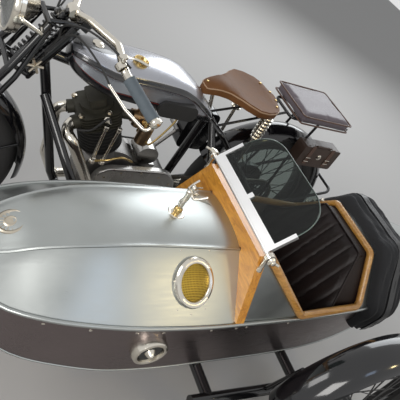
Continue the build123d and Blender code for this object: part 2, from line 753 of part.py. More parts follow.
# Carrier over the rear guard, and the pillion pad on it
carrier_z = 766.0
carrier_tube = 12.0
pad_front = 86.0
pad_rear = -182.0
pad_half = 115.0
pad_low = carrier_z + carrier_tube / 2 + soft_gap
pad_high = 820.0
strut_y = guard_width / 2 + carrier_tube / 2 + soft_gap
carrier_ring = [
    bike(pad_front + 10, -strut_y, carrier_z), bike(pad_front + 10, strut_y, carrier_z),
    bike(-235, strut_y, carrier_z), bike(-235, -strut_y, carrier_z),
]
carrier_tubes = [tube(carrier_ring, carrier_tube, 24.0, True)]
for side in (1, -1):
    struts = [bike(-60, side * strut_y, carrier_z), bike(-27, side * strut_y, 560)]
    struts.append(bike(0, side * (dropout_y - 6), 350))
    carrier_tubes.append(tube(struts, carrier_tube - 1))
    front_run = [bike(pad_front + 10, side * 34, carrier_z), bike(378, side * 42, 645)]
    carrier_tubes.append(tube(front_run, carrier_tube - 2))
for x in (60, -110):
    carrier_tubes.append(tube([bike(x, -strut_y, carrier_z), bike(x, strut_y, carrier_z)], carrier_tube - 2))
with BuildPart() as carrier:
    for piece in carrier_tubes:
        add(piece)
    add(frame.part, mode=Mode.SUBTRACT)
keep("carrier", carrier.part)

with BuildPart() as pillion_pad:
    with BuildSketch(Plane(origin=bike((pad_front + pad_rear) / 2, 0, pad_low))):
        RectangleRounded(pad_front - pad_rear, 2 * pad_half, 18)
    extrude(amount=pad_high - pad_low)
    fillet(pillion_pad.faces().sort_by(Axis.Z)[-1].edges(), 10)
keep("pillion_pad", pillion_pad.part)

# Toolbox beside the rear guard, its lid hinged at the top
box_front = -6.0
box_rear = -204.0
box_low = 600.0
box_high = 694.0
box_in = strut_y + carrier_tube / 2 + soft_gap
box_out = box_in + 52.0
box_wall = 3.0
lid_thick = 7.0
lid_knuckle = 20.0
pin_radius = 2.5
box_x = (box_front + box_rear) / 2
box_z = (box_low + box_high) / 2
lid_hinge = bike(box_x, box_out + 3, box_high + 6)
with BuildPart() as toolbox:
    with BuildSketch(Plane(origin=bike(box_x, box_in, box_z), x_dir=(-1, 0, 0), z_dir=(0, 1, 0))):
        RectangleRounded(box_front - box_rear, box_high - box_low, 8)
    extrude(amount=box_out - box_in)
    with BuildSketch(Plane(origin=bike(box_x, box_in + box_wall, box_z), x_dir=(-1, 0, 0), z_dir=(0, 1, 0))):
        RectangleRounded(box_front - box_rear - 2 * box_wall, box_high - box_low - 2 * box_wall, 5)
    extrude(amount=box_out - box_in, mode=Mode.SUBTRACT)
    for end in (-1, 1):
        knuckle = lid_hinge + Vector(end * (lid_knuckle + 11), 0, 0)
        add(disc(knuckle, (1, 0, 0), 4.5, 20))
        add(Pos(knuckle - Vector(0, 8, 5)) * Box(20, 10, 6, mode=Mode.PRIVATE))
    add(disc(lid_hinge, (1, 0, 0), pin_radius, 2 * lid_knuckle + 20))
keep("toolbox", toolbox.part)
with BuildPart() as toolbox_lid:
    with BuildSketch(Plane(origin=bike(box_x, box_out + 0.5, box_z), x_dir=(-1, 0, 0), z_dir=(0, 1, 0))):
        RectangleRounded(box_front - box_rear + 4, box_high - box_low + 2, 9)
    extrude(amount=lid_thick)
    add(disc(lid_hinge, (1, 0, 0), 4.5, 2 * lid_knuckle))
    add(Pos(lid_hinge + Vector(0, 1.5, -5)) * Box(2 * lid_knuckle, 5, 9, mode=Mode.PRIVATE))
    add(disc(lid_hinge, (1, 0, 0), pin_radius + 0.05, 2 * lid_knuckle + 2), mode=Mode.SUBTRACT)
keep("toolbox_lid", toolbox_lid.part)

# Footrests on a bar across, resting on the loop tube
rest_x = 596.0
rest_z = bottom_tube_z + main_tube / 2 + 8.0
with BuildPart() as footrests:
    add(disc(bike(rest_x, 0, rest_z), (0, 1, 0), 8, 2 * 205))
    for side in (1, -1):
        add(disc(bike(rest_x, side * 162, rest_z), (0, 1, 0), 14, 88))
    add(exhausts.part, mode=Mode.SUBTRACT)
    add(loop_tube, mode=Mode.SUBTRACT)
keep("footrests", footrests.part)

# Rear stand: a hoop pivoted on the rear axle's ends, clipped up behind the guard
stand_y = dropout_y + 16.0
stand_reach = 374.0
stand_tube = 14.0
stand_angle = 158.0
stand_dir = Vector(cos(radians(stand_angle)), 0, sin(radians(stand_angle)))
hub_right = bike(0, -stand_y, wheel_radius)
hub_left = bike(0, stand_y, wheel_radius)
stand_route = [hub_right, hub_right + stand_dir * stand_reach, hub_left + stand_dir * stand_reach, hub_left]
stand_hoop = tube(stand_route, stand_tube, 30.0)
with BuildPart() as rear_stand:
    add(stand_hoop)
    for hub in (hub_right, hub_left):
        add(disc(hub, (0, 1, 0), 17, 10))
    for hub in (hub_right, hub_left):
        with BuildSketch(Plane(origin=hub - Vector(0, 30, 0), z_dir=(0, 1, 0))):
            Circle(axle_radius + axle_fit)
        extrude(amount=60, mode=Mode.SUBTRACT)
keep("rear_stand", rear_stand.part)

# Headlamp between the fork's upper ends
lamp_centre = steer(link_high_z - 20, blade_ahead + 78)
lamp_arms = []
for side in (1, -1):
    arm_end = steer(link_high_z - 20, blade_ahead + 6, side * 56)
    arm = [lamp_centre + Vector(8, side * 80, 0), lamp_centre + Vector(8, side * 100, 0)]
    lamp_arms.append(tube(arm + [arm_end + Vector(8, side * 30, 0), arm_end], 12.0, 6.0))
with BuildPart() as headlamp:
    with BuildSketch(Plane(origin=lamp_centre - Vector(50, 0, 0), x_dir=(0, 1, 0), z_dir=(1, 0, 0))):
        Circle(30)
    with BuildSketch(Plane(origin=lamp_centre, x_dir=(0, 1, 0), z_dir=(1, 0, 0))):
        Circle(82)
    loft()
    with BuildSketch(Plane(origin=lamp_centre, x_dir=(0, 1, 0), z_dir=(1, 0, 0))):
        Circle(86)
    extrude(amount=26)
    for piece in lamp_arms:
        add(piece)
    add(fork.part, mode=Mode.SUBTRACT)
keep("headlamp", headlamp.part)

# Sidecar body: sheet panels in lofts through the stations
spill = 1.0  # how far each loft runs past the chine before it is cut flat


def panel_plane(x):
    """The cross-section's plane at a station: its X to the left, its Y up."""
    return Plane(origin=car(x, 0, 0), x_dir=(0, 1, 0), z_dir=(1, 0, 0))


def deck_outline(row):
    """The section above the chine, with half-round beads along its corners."""
    x, deck, top, wide, low, under = row
    up = Vector(deck - wide, top - chine_z).normalized()
    foot = Vector(wide, chine_z)
    head = Vector(deck, top)
    low_arc = (foot + Vector(bead, 0), foot + (Vector(1, 0) + up).normalized() * bead, foot + up * bead)
    high_arc = (head - up * bead, head + Vector(bead * 0.5, bead * 0.866), head + Vector(-bead, 1))
    mirror = [[Vector(-point.X, point.Y) for point in arc] for arc in (low_arc, high_arc)]
    crown = (0, top + deck_camber * deck / 110)
    Line((wide + bead, chine_z - spill), low_arc[0])
    ThreePointArc(*low_arc)
    Line(low_arc[2], high_arc[0])
    ThreePointArc(*high_arc)
    ThreePointArc(high_arc[2], crown, mirror[1][2])
    ThreePointArc(mirror[1][2], mirror[1][1], mirror[1][0])
    Line(mirror[1][0], mirror[0][2])
    ThreePointArc(mirror[0][2], mirror[0][1], mirror[0][0])
    Line(mirror[0][0], (-wide - bead, chine_z - spill))
    Line((-wide - bead, chine_z - spill), (wide + bead, chine_z - spill))


def deck_cavity(row):
    """The space under the deck's sheet."""
    x, deck, top, wide, low, under = row
    deck, top, wide = deck - 0.7 * skin, top - skin, wide - 1.5 * skin
    Polyline((deck, top), (wide, chine_z - spill), (-wide, chine_z - spill), (-deck, top))
    ThreePointArc((-deck, top), (0, top + deck_camber * deck / 110), (deck, top))


def hull_outline(row):
    """The section below the chine, with half-round beads along it."""
    x, deck, top, wide, low, under = row
    down = Vector(low - wide, under - chine_z).normalized()
    foot = Vector(wide, chine_z)
    arc = (foot + Vector(bead, 0), foot + (Vector(1, 0) + down).normalized() * bead, foot + down * bead)
    mirror = [Vector(-point.X, point.Y) for point in arc]
    Line((wide + bead, chine_z + spill), arc[0])
    ThreePointArc(*arc)
    Polyline(arc[2], (low, under), (-low, under), mirror[2])
    ThreePointArc(mirror[2], mirror[1], mirror[0])
    Line(mirror[0], (-wide - bead, chine_z + spill))
    Line((-wide - bead, chine_z + spill), (wide + bead, chine_z + spill))


def hull_cavity(row):
    """The space inside the hull."""
    x, deck, top, wide, low, under = row
    wide, low, under = wide - skin, low - skin, under + skin
    edge = chine_z + 2 * spill
    Polyline((wide, edge), (low, under), (-low, under), (-wide, edge), close=True)


def between(before, low, high, after, share):
    """One measure at a share of the way between two stations, on a smooth curve."""
    lift_in = (high - before) / 2
    lift_out = (after - low) / 2
    rise = high - low
    curve = rise - lift_in
    bend = curve + rise - lift_out
    return low + lift_in * share + (curve + bend) * share**2 - bend * share**3


def fair(rows):
    """The stations with one more between each two, so that the panels curve evenly."""
    out = []
    for k in range(len(rows) - 1):
        near = (rows[max(k - 1, 0)], rows[k], rows[k + 1], rows[min(k + 2, len(rows) - 1)])
        out.append(rows[k])
        middle = [between(*(row[m] for row in near), 0.5) for m in range(1, 6)]
        middle[4] = max(middle[4], min(rows[k][5], rows[k + 1][5]))
        out.append(((rows[k][0] + rows[k + 1][0]) / 2, *middle))
    return out + [rows[-1]]


def body_loft(outline, rows):
    """Flat-run panels of one outline from station to station."""
    with BuildPart() as made:
        for row in rows:
            with BuildSketch(panel_plane(row[0])):
                with BuildLine():
                    outline(row)
                make_face()
        loft(ruled=True)
    return made.part


def car_block(x_from, x_to, z_from, z_to, half=400.0):
    """A block across the sidecar, to cut with."""
    centre = car((x_from + x_to) / 2, 0, (z_from + z_to) / 2)
    return Pos(centre) * Box(x_to - x_from, 2 * half, z_to - z_from, mode=Mode.PRIVATE)


below_chine = car_block(-900, 1600, 0, chine_z)
above_chine = car_block(-900, 1600, chine_z, 1000)
body_rows = fair(body_stations)
deck_solid = body_loft(deck_outline, body_rows) - below_chine
hull_solid = body_loft(hull_outline, body_rows) - above_chine
deck_shell = deck_solid - body_loft(deck_cavity, body_rows[1:-1])

with BuildPart() as hull:
    add(hull_solid)
    add(body_loft(hull_cavity, body_rows[1:-1]), mode=Mode.SUBTRACT)
keep("hull", hull.part)

with BuildPart() as front_deck:
    add(deck_shell)
    add(car_block(-900, cockpit_front, 400, 900), mode=Mode.SUBTRACT)
keep("front_deck", front_deck.part)

with BuildPart() as rear_deck:
    add(deck_shell)
    add(car_block(cockpit_rear, 1600, 400, 900), mode=Mode.SUBTRACT)
keep("rear_deck", rear_deck.part)

# Wooden scuttle hoop round the front deck
hoop_low_half = 262.0
with BuildPart() as scuttle_hoop:
    with BuildSketch(panel_plane(cockpit_front)):
        with BuildLine():
            Polyline((hoop_low_half, chine_z), (hoop_half, hoop_top), (-hoop_half, hoop_top),
                     (-hoop_low_half, chine_z), close=True)
        make_face()
    extrude(amount=hoop_thick)
    add(deck_solid, mode=Mode.SUBTRACT)
    add(hull_solid, mode=Mode.SUBTRACT)
keep("scuttle_hoop", scuttle_hoop.part)

# Windscreen pivot; laid back to its stop it keeps some room above the coaming
pivot_x = 595.0
pivot_z = 763.0
rod_radius = 6.0
laid_back = 17.0
laid_room = rod_radius + 5.5
laid_normal = Vector(sin(radians(laid_back)), 0, cos(radians(laid_back)))
laid_plane = Plane(origin=car(pivot_x, 0, pivot_z), x_dir=(0, 1, 0), z_dir=laid_normal)
swept_room = laid_plane.location * Pos(0, 50, 30 - laid_room) * Box(700, 120, 60, mode=Mode.PRIVATE)

# Coaming: one bent wooden rail round the cockpit's edge
coaming_z = chine_z + coaming_radius + soft_gap
coaming_half = [
    (560.0, 188.0, 738.0),
    (352.0, 248.0, coaming_z),
    (73.0, 226.0, coaming_z),
    (53.0, 112.0, 698.0),
]
coaming_left = [car(x, y, z) for x, y, z in coaming_half]
coaming_left[0] = coaming_left[0] + (coaming_left[0] - coaming_left[1]).normalized() * 30
coaming_right = [Vector(p.X, 2 * car_y - p.Y, p.Z) for p in coaming_left]
coaming_rail = tube(coaming_left + coaming_right[::-1], 2 * coaming_radius, 24.0)
with BuildPart() as coaming:
    add(coaming_rail)
    add(scuttle_hoop.part, mode=Mode.SUBTRACT)
    add(car_block(cockpit_front - 0.01, 700, 600, 900), mode=Mode.SUBTRACT)
    add(rear_deck.part, mode=Mode.SUBTRACT)
    add(swept_room, mode=Mode.SUBTRACT)
keep("coaming", coaming.part)

# Cockpit sides: triangular panels between the hoop and the chine
side_panel = 8.0
with BuildPart() as cockpit_sides:
    for side in (1, -1):
        top = car(cockpit_front, side * hoop_half, hoop_top)
        low_corner = car(cockpit_front, side * 254, chine_z)
        rear_corner = car(cockpit_low_front, side * 248, chine_z)
        inward = (low_corner - top).cross(rear_corner - top) * -side
        panel = Plane(origin=top, x_dir=low_corner - top, z_dir=inward)
        with BuildSketch(panel):
            with BuildLine():
                corners = [panel.to_local_coords(point) for point in (top, low_corner, rear_corner)]
                Polyline(*corners, close=True)
            make_face()
        extrude(amount=side_panel)
    add(hull.part, mode=Mode.SUBTRACT)
    add(front_deck.part, mode=Mode.SUBTRACT)
    add(scuttle_hoop.part, mode=Mode.SUBTRACT)
    add(coaming.part, mode=Mode.SUBTRACT)
keep("cockpit_sides", cockpit_sides.part)

# Windscreen: a rod in two clamps carries the rail, the side arms and the glass
glass_lean = 47.0
glass_width = 354.0
glass_high = 190.0
glass_thick = 5.0
glass_round = 90.0
rod_half = 204.5
clamp_y = 198.0
glass_normal = Vector(sin(radians(glass_lean)), 0, cos(radians(glass_lean)))
glass_plane = Plane(origin=car(pivot_x, 0, pivot_z), x_dir=(0, 1, 0), z_dir=glass_normal)
with BuildPart() as windscreen_glass:
    with BuildSketch(glass_plane) as pane:
        with Locations((0, (18 + glass_high) / 2)):
            Rectangle(glass_width, glass_high - 18)
        fillet(pane.vertices().group_by(Axis.Y)[-1], glass_round)
    extrude(amount=glass_thick / 2, both=True)
keep("windscreen_glass", windscreen_glass.part)
with BuildPart() as windscreen_frame:
    add(disc(car(pivot_x, 0, pivot_z), (0, 1, 0), rod_radius, 2 * rod_half))
    with BuildSketch(glass_plane):
        with Locations((0, 15)):
            Rectangle(glass_width + 4, 26)
        for side in (1, -1):
            with Locations((side * (glass_width / 2), 45)):
                Rectangle(12, 90)
        with Locations((0, 34)):
            Rectangle(16, 20)
    extrude(amount=rod_radius, both=True)
    add(windscreen_glass.part, mode=Mode.SUBTRACT)
keep("windscreen_frame", windscreen_frame.part)
with BuildPart() as windscreen_clamps:
    for side in (1, -1):
        post = car(pivot_x - 6, side * clamp_y, (pivot_z + 690) / 2)
        add(Pos(post) * Box(26, 13, pivot_z - 690 + 26, mode=Mode.PRIVATE))
        knob = car(pivot_x, side * (clamp_y + 12.5), pivot_z)
        add(disc(knob, (0, 1, 0), 11, 12))
        add(Pos(knob + Vector(0, side * 4, 0)) * Box(44, 4, 12, mode=Mode.PRIVATE))
        rod_hole = car(pivot_x, side * (clamp_y - 3), pivot_z)
        add(disc(rod_hole, (0, 1, 0), rod_radius + axle_fit, 20), mode=Mode.SUBTRACT)
    add(scuttle_hoop.part, mode=Mode.SUBTRACT)
    add(front_deck.part, mode=Mode.SUBTRACT)
    add(coaming.part, mode=Mode.SUBTRACT)
keep("windscreen_clamps", windscreen_clamps.part)

# Cockpit seat: cushion on the floor and a leaning back
floor_z = 300.0 + skin
with BuildPart() as seat_cushion:
    with BuildSketch(Plane(origin=car(360, 0, floor_z + soft_gap))):
        RectangleRounded(320, 372, 24)
    extrude(amount=430 - floor_z - soft_gap)
    fillet(seat_cushion.faces().sort_by(Axis.Z)[-1].edges(), 20)
keep("seat_cushion", seat_cushion.part)
back_rise = Vector(-133, 0, 270).normalized()
back_plane = Plane(origin=car(252, 0, 400), x_dir=(0, 1, 0), z_dir=Vector(0, 1, 0).cross(back_rise))
with BuildPart() as seat_back:
    with BuildSketch(back_plane):
        with BuildLine():
            Polyline((190, 0), (208, 150), (104, 318), (-104, 318), (-208, 150), (-190, 0), close=True)
        make_face()
    extrude(amount=-46)
    fillet(seat_back.edges().filter_by(Axis(origin=(0, 0, 0), direction=tuple(back_plane.z_dir))), 16)
    add(car_block(180, 540, 0, 430 + soft_gap), mode=Mode.SUBTRACT)
keep("seat_back", seat_back.part)

# Folded hood over the tail of the cockpit
hood_front = 22.0
hood_rear = -128.0
with BuildPart() as hood:
    with BuildSketch(panel_plane(hood_rear)):
        with BuildLine():
            Polyline((244, 430), (256, 560), (132, 738), (-132, 738), (-256, 560), (-244, 430), close=True)
        make_face()
    extrude(amount=hood_front - hood_rear)
    fillet(hood.edges().filter_by(Axis.X), 22)
    add(deck_solid, mode=Mode.SUBTRACT)
    add(hull_solid, mode=Mode.SUBTRACT)
    add(car_block(-900, 900, 0, 432), mode=Mode.SUBTRACT)
keep("hood", hood.part)

# Deck fittings: figure, nose badge, oval vent and round vent
panel_out = Vector(0, 0.6925, 0.7215)
badge_out = Vector(0.38, 0, 0.925)
with BuildPart() as deck_fittings:
    base = car(775, 0, 700)
    add(disc(base, (0, 0, 1), 24, 12))
    add(Pos(base + Vector(0, 0, 16)) * Sphere(12, mode=Mode.PRIVATE))
    with BuildSketch(Plane(origin=base + Vector(0, 0, 22))):
        Circle(10)
    with BuildSketch(Plane(origin=base + Vector(0, 0, 82))):
        Ellipse(8, 15)
    loft()
    with BuildSketch(Plane(origin=base + Vector(0, 0, 82))):
        Ellipse(8, 15)
    with BuildSketch(Plane(origin=base + Vector(0, 0, 98))):
        Circle(5)
    loft()
    add(Pos(base + Vector(0, 0, 105)) * Sphere(10, mode=Mode.PRIVATE))
    with BuildSketch(Plane(origin=car(1185, 0, 612), x_dir=(0, 1, 0), z_dir=badge_out)):
        Circle(38)
    extrude(amount=22)
    with BuildSketch(Plane(origin=car(748, 168, 620), x_dir=(1, 0, 0), z_dir=panel_out)):
        Ellipse(56, 63)
        Ellipse(38, 46, mode=Mode.SUBTRACT)
    extrude(amount=20)
    with BuildSketch(Plane(origin=car(748, 168, 620), x_dir=(1, 0, 0), z_dir=panel_out)):
        Ellipse(40, 48)
    extrude(amount=13)
    vent = car(820, 236, 440)
    add(disc(vent, (0, 1, 0), 50, 34))
    add(hull_solid, mode=Mode.SUBTRACT)
    add(deck_solid, mode=Mode.SUBTRACT)
keep("deck_fittings", deck_fittings.part)

# Sidecar chassis: cross tubes, rails, stub axle and the four struts to the motorcycle
chassis_z = 300.0 - car_tube / 2 - soft_gap
inner_rail_y = 345.0
outer_rail_y = track - 105.0
cross_xs = (215.0, 575.0)
strut = 30.0
wheel_axle_x = wheel_lead
chassis_tubes = [
    tube([bike(100, inner_rail_y, chassis_z), bike(830, inner_rail_y, chassis_z)], car_tube),
    tube([bike(-100, outer_rail_y, chassis_z), bike(640, outer_rail_y, chassis_z)], car_tube),
    *[tube([bike(x, inner_rail_y, chassis_z), bike(x, outer_rail_y, chassis_z)], car_tube) for x in cross_xs],
    tube([bike(120, 92, 307), bike(120, inner_rail_y, chassis_z)], strut),
    tube([bike(862, 8, 262), bike(800, 150, 250), bike(700, inner_rail_y, chassis_z)], strut, 80.0),
    tube([bike(384, 30, 646), bike(330, inner_rail_y, chassis_z)], strut),
    tube([bike(1006, 8, 620), bike(800, inner_rail_y, chassis_z)], strut),
    tube([bike(360, outer_rail_y, chassis_z), bike(376, outer_rail_y + 46, 490)], small_tube),
    tube([bike(-90, outer_rail_y, chassis_z), bike(-176, outer_rail_y + 46, 490)], small_tube),
    tube([bike(100, outer_rail_y, chassis_z), bike(100, outer_rail_y, wheel_radius + 8)], car_tube),
]
with BuildPart() as sidecar_chassis:
    for piece in chassis_tubes:
        add(piece)
    add(disc(bike(wheel_axle_x, (outer_rail_y + track + 50) / 2, wheel_radius), (0, 1, 0), axle_radius,
             track + 50 - outer_rail_y))
    add(disc(bike(wheel_axle_x, (outer_rail_y + track - hub_length / 2 - 4) / 2, wheel_radius), (0, 1, 0), 15,
             track - hub_length / 2 - 4 - outer_rail_y))
    add(frame.part, mode=Mode.SUBTRACT)
    add(pieces["side_guard"], mode=Mode.SUBTRACT)
    add(crankcase.part, mode=Mode.SUBTRACT)
    add(hull_solid, mode=Mode.SUBTRACT)
keep("sidecar_chassis", sidecar_chassis.part)


os.makedirs("parts", exist_ok=True)
for name, part in pieces.items():
    export_step(part, f"parts/{name}.step")
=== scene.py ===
from math import cos, pi, radians, sin, tan

import bmesh
import bpy
from mathutils import Matrix, Vector
from mathutils.bvhtree import BVHTree


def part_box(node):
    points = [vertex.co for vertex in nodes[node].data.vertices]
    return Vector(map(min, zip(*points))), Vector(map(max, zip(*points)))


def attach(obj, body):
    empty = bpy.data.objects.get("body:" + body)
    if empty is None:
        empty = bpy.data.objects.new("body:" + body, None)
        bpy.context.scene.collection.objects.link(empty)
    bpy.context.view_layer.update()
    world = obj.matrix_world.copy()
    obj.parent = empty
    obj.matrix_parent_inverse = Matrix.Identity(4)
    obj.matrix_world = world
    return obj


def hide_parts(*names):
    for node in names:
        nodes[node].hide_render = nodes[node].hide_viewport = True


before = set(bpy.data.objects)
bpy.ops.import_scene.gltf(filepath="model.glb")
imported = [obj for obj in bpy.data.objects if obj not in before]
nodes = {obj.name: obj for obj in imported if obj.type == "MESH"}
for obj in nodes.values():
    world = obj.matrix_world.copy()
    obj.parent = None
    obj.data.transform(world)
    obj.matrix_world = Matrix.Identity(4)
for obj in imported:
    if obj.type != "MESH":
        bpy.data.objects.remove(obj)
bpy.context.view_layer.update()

# Main planes and angles, as in the solids: millimetres and degrees
rear_x = -580.0  # rear axle
bike_y = -324.0  # centre plane of the motorcycle
car_y = bike_y + 560.0  # centre plane of the sidecar's body
wheelbase = 1350.0
track = 1005.0  # sidecar wheel's plane from the motorcycle's
wheel_lead = 100.0  # sidecar axle ahead of the rear axle
wheel_radius = 330.0
tyre_half = 44.0
rake = 27.0  # steering axis from upright
axis_foot = 1430.0  # where the steering axis meets the ground, ahead of the rear axle
screen_x, screen_z = 595.0, 763.0  # the windscreen's rod


def bike(x, y, z):
    """A point from the rear axle on the motorcycle's centre plane, in metres."""
    return Vector((rear_x + x, bike_y + y, z)) / 1000


def car(x, y, z):
    """A point from the rear axle's station on the sidecar's centre plane, in metres."""
    return Vector((rear_x + x, car_y + y, z)) / 1000


def steer(z, ahead=0.0, y=0.0):
    """A point on the steering axis, or some way ahead of it."""
    lean = radians(rake)
    return Vector((rear_x + axis_foot - z * tan(lean) + ahead * cos(lean), bike_y + y,
                   z + ahead * sin(lean))) / 1000


hubs = {
    "front": bike(wheelbase, 0, wheel_radius),
    "rear": bike(0, 0, wheel_radius),
    "side": bike(wheel_lead, track, wheel_radius),
}

# Camera at the photograph's place
camera_place = Vector((1.0018, 1.1201, 1.5972))
camera_data = bpy.data.cameras.new("camera")
camera = bpy.data.objects.new("camera", camera_data)
bpy.context.scene.collection.objects.link(camera)
bpy.context.scene.camera = camera
camera_data.lens = 50.33
camera_data.sensor_width = 36.0
yaw, pitch, roll = radians(-134.01), radians(-34.37), radians(34.05)
look = Vector((cos(pitch) * cos(yaw), cos(pitch) * sin(yaw), sin(pitch)))
level_right = look.cross(Vector((0, 0, 1))).normalized()
level_up = level_right.cross(look)
right = level_right * cos(roll) + level_up * sin(roll)
up = level_up * cos(roll) - level_right * sin(roll)
camera.matrix_world = Matrix.Translation(camera_place) @ Matrix((right, up, -look)).transposed().to_4x4()

bpy.context.scene.view_settings.view_transform = "Standard"


# Lamps, world and floor
def lamp(name, place, target, size, power, tint):
    """A soft square lamp that faces a point."""
    data = bpy.data.lights.new(name, "AREA")
    data.size = size
    data.energy = power
    data.color = tint
    light = bpy.data.objects.new(name, data)
    bpy.context.scene.collection.objects.link(light)
    light.location = place
    light.rotation_euler = (Vector(target) - Vector(place)).to_track_quat("-Z", "Y").to_euler()


lamp("key_lamp", (2.4, 3.4, 2.4), (0, 0.1, 0.4), 1.8, 70, (1.0, 0.98, 0.95))
lamp("window_lamp", (-2.6, -2.6, 2.6), (0, 0, 0.5), 2.4, 64, (0.93, 0.97, 1.0))
lamp("front_lamp", (3.2, -0.8, 2.4), (0.2, 0, 0.5), 1.6, 34, (1.0, 0.99, 0.97))
lamp("warm_lamp", (-1.29, 2.43, 2.21), (0.27, 0.42, 0.62), 0.20, 4, (1.0, 0.80, 0.42))
lamp("cool_lamp", (-0.24, 2.78, 2.55), (0.80, 0.42, 0.60), 0.5, 2, (0.55, 0.72, 1.0))

world = bpy.data.worlds.new("studio")
bpy.context.scene.world = world
world.use_nodes = True
sky = world.node_tree
sky.nodes.clear()
sky_out = sky.nodes.new("ShaderNodeOutputWorld")
sky_mix = sky.nodes.new("ShaderNodeMixShader")
sky_soft = sky.nodes.new("ShaderNodeBackground")
sky_soft.inputs["Color"].default_value = (0.80, 0.84, 0.88, 1)
sky_soft.inputs["Strength"].default_value = 0.30
sky_plain = sky.nodes.new("ShaderNodeBackground")
sky_plain.inputs["Color"].default_value = (0.90, 0.90, 0.90, 1)
sky_plain.inputs["Strength"].default_value = 0.85
ray = sky.nodes.new("ShaderNodeLightPath")
seen = sky.nodes.new("ShaderNodeMath")
seen.operation = "MAXIMUM"
sky.links.new(ray.outputs["Is Camera Ray"], seen.inputs[0])
sky.links.new(ray.outputs["Is Transmission Ray"], seen.inputs[1])
mirrored = sky.nodes.new("ShaderNodeMath")
mirrored.operation = "MAXIMUM"
sky.links.new(seen.outputs[0], mirrored.inputs[0])
sky.links.new(ray.outputs["Is Glossy Ray"], mirrored.inputs[1])
sky.links.new(mirrored.outputs[0], sky_mix.inputs["Fac"])
sky.links.new(sky_soft.outputs[0], sky_mix.inputs[1])
sky.links.new(sky_plain.outputs[0], sky_mix.inputs[2])
sky.links.new(sky_mix.outputs[0], sky_out.inputs["Surface"])


# Effects that several finishes share
def effect(name, inputs, outputs):
    """A node group with named sockets; its nodes are added by the caller."""
    group = bpy.data.node_groups.new(name, "ShaderNodeTree")
    for label, kind, value in inputs:
        socket = group.interface.new_socket(label, in_out="INPUT", socket_type=kind)
        if value is not None:
            socket.default_value = value
    for label, kind in outputs:
        group.interface.new_socket(label, in_out="OUTPUT", socket_type=kind)
    return group, group.nodes.new("NodeGroupInput"), group.nodes.new("NodeGroupOutput")


NUMBER, POINT, TINT = "NodeSocketFloat", "NodeSocketVector", "NodeSocketColor"


def add_node(tree, kind, links=(), **values):
    """A node with its settings and links in one line."""
    node = tree.nodes.new(kind)
    for key, value in values.items():
        if key.startswith("in_"):
            slot = key[3:]
            node.inputs[int(slot) if slot.isdigit() else slot.replace("_", " ")].default_value = value
        else:
            setattr(node, key, value)
    for source, target in links:
        tree.links.new(source, node.inputs[target])
    return node


# Mottle: two tints that drift into each other
mottle, g_in, g_out = effect(
    "mottle",
    [("Point", POINT, None), ("Scale", NUMBER, 12.0), ("Dark", TINT, None), ("Light", TINT, None),
     ("Rough low", NUMBER, 0.3), ("Rough high", NUMBER, 0.5)],
    [("Color", TINT), ("Roughness", NUMBER), ("Cloud", NUMBER)],
)
cloud = add_node(mottle, "ShaderNodeTexNoise", [(g_in.outputs["Point"], "Vector"),
                                                (g_in.outputs["Scale"], "Scale")],
                 in_Detail=6.0, in_Roughness=0.6)
blend = add_node(mottle, "ShaderNodeMix", [(cloud.outputs["Fac"], 0), (g_in.outputs["Dark"], 6),
                                           (g_in.outputs["Light"], 7)],
                 data_type="RGBA")
rough = add_node(mottle, "ShaderNodeMapRange", [(cloud.outputs["Fac"], 0), (g_in.outputs["Rough low"], 3),
                                                (g_in.outputs["Rough high"], 4)])
mottle.links.new(blend.outputs[2], g_out.inputs["Color"])
mottle.links.new(rough.outputs[0], g_out.inputs["Roughness"])
mottle.links.new(cloud.outputs["Fac"], g_out.inputs["Cloud"])

# Brushing: fine streaks along one way, for sheet metal
brushing, g_in, g_out = effect(
    "brushing",
    [("Point", POINT, None), ("Along", POINT, (1.0, 60.0, 60.0)), ("Scale", NUMBER, 9.0)],
    [("Streak", NUMBER), ("Patch", NUMBER)],
)
stretch = add_node(brushing, "ShaderNodeVectorMath", [(g_in.outputs["Point"], 0), (g_in.outputs["Along"], 1)],
                   operation="MULTIPLY")
fine = add_node(brushing, "ShaderNodeTexNoise", [(stretch.outputs[0], "Vector"),
                                                 (g_in.outputs["Scale"], "Scale")],
                in_Detail=5.0, in_Roughness=0.7)
broad = add_node(brushing, "ShaderNodeTexNoise", [(g_in.outputs["Point"], "Vector")], in_Scale=5.0,
                 in_Detail=3.0)
brushing.links.new(fine.outputs["Fac"], g_out.inputs["Streak"])
brushing.links.new(broad.outputs["Fac"], g_out.inputs["Patch"])

# Hide: leather's creases and pores
hide, g_in, g_out = effect(
    "hide", [("Point", POINT, None), ("Scale", NUMBER, 260.0)], [("Height", NUMBER), ("Crease", NUMBER)])
cells = add_node(hide, "ShaderNodeTexVoronoi", [(g_in.outputs["Point"], "Vector"),
                                                (g_in.outputs["Scale"], "Scale")],
                 feature="DISTANCE_TO_EDGE")
folds = add_node(hide, "ShaderNodeTexNoise", [(g_in.outputs["Point"], "Vector")], in_Scale=24.0,
                 in_Detail=8.0,
                 in_Roughness=0.62, in_Distortion=0.8)
height = add_node(hide, "ShaderNodeMath", [(cells.outputs["Distance"], 0), (folds.outputs["Fac"], 1)],
                  operation="ADD")
hide.links.new(height.outputs[0], g_out.inputs["Height"])
hide.links.new(folds.outputs["Fac"], g_out.inputs["Crease"])

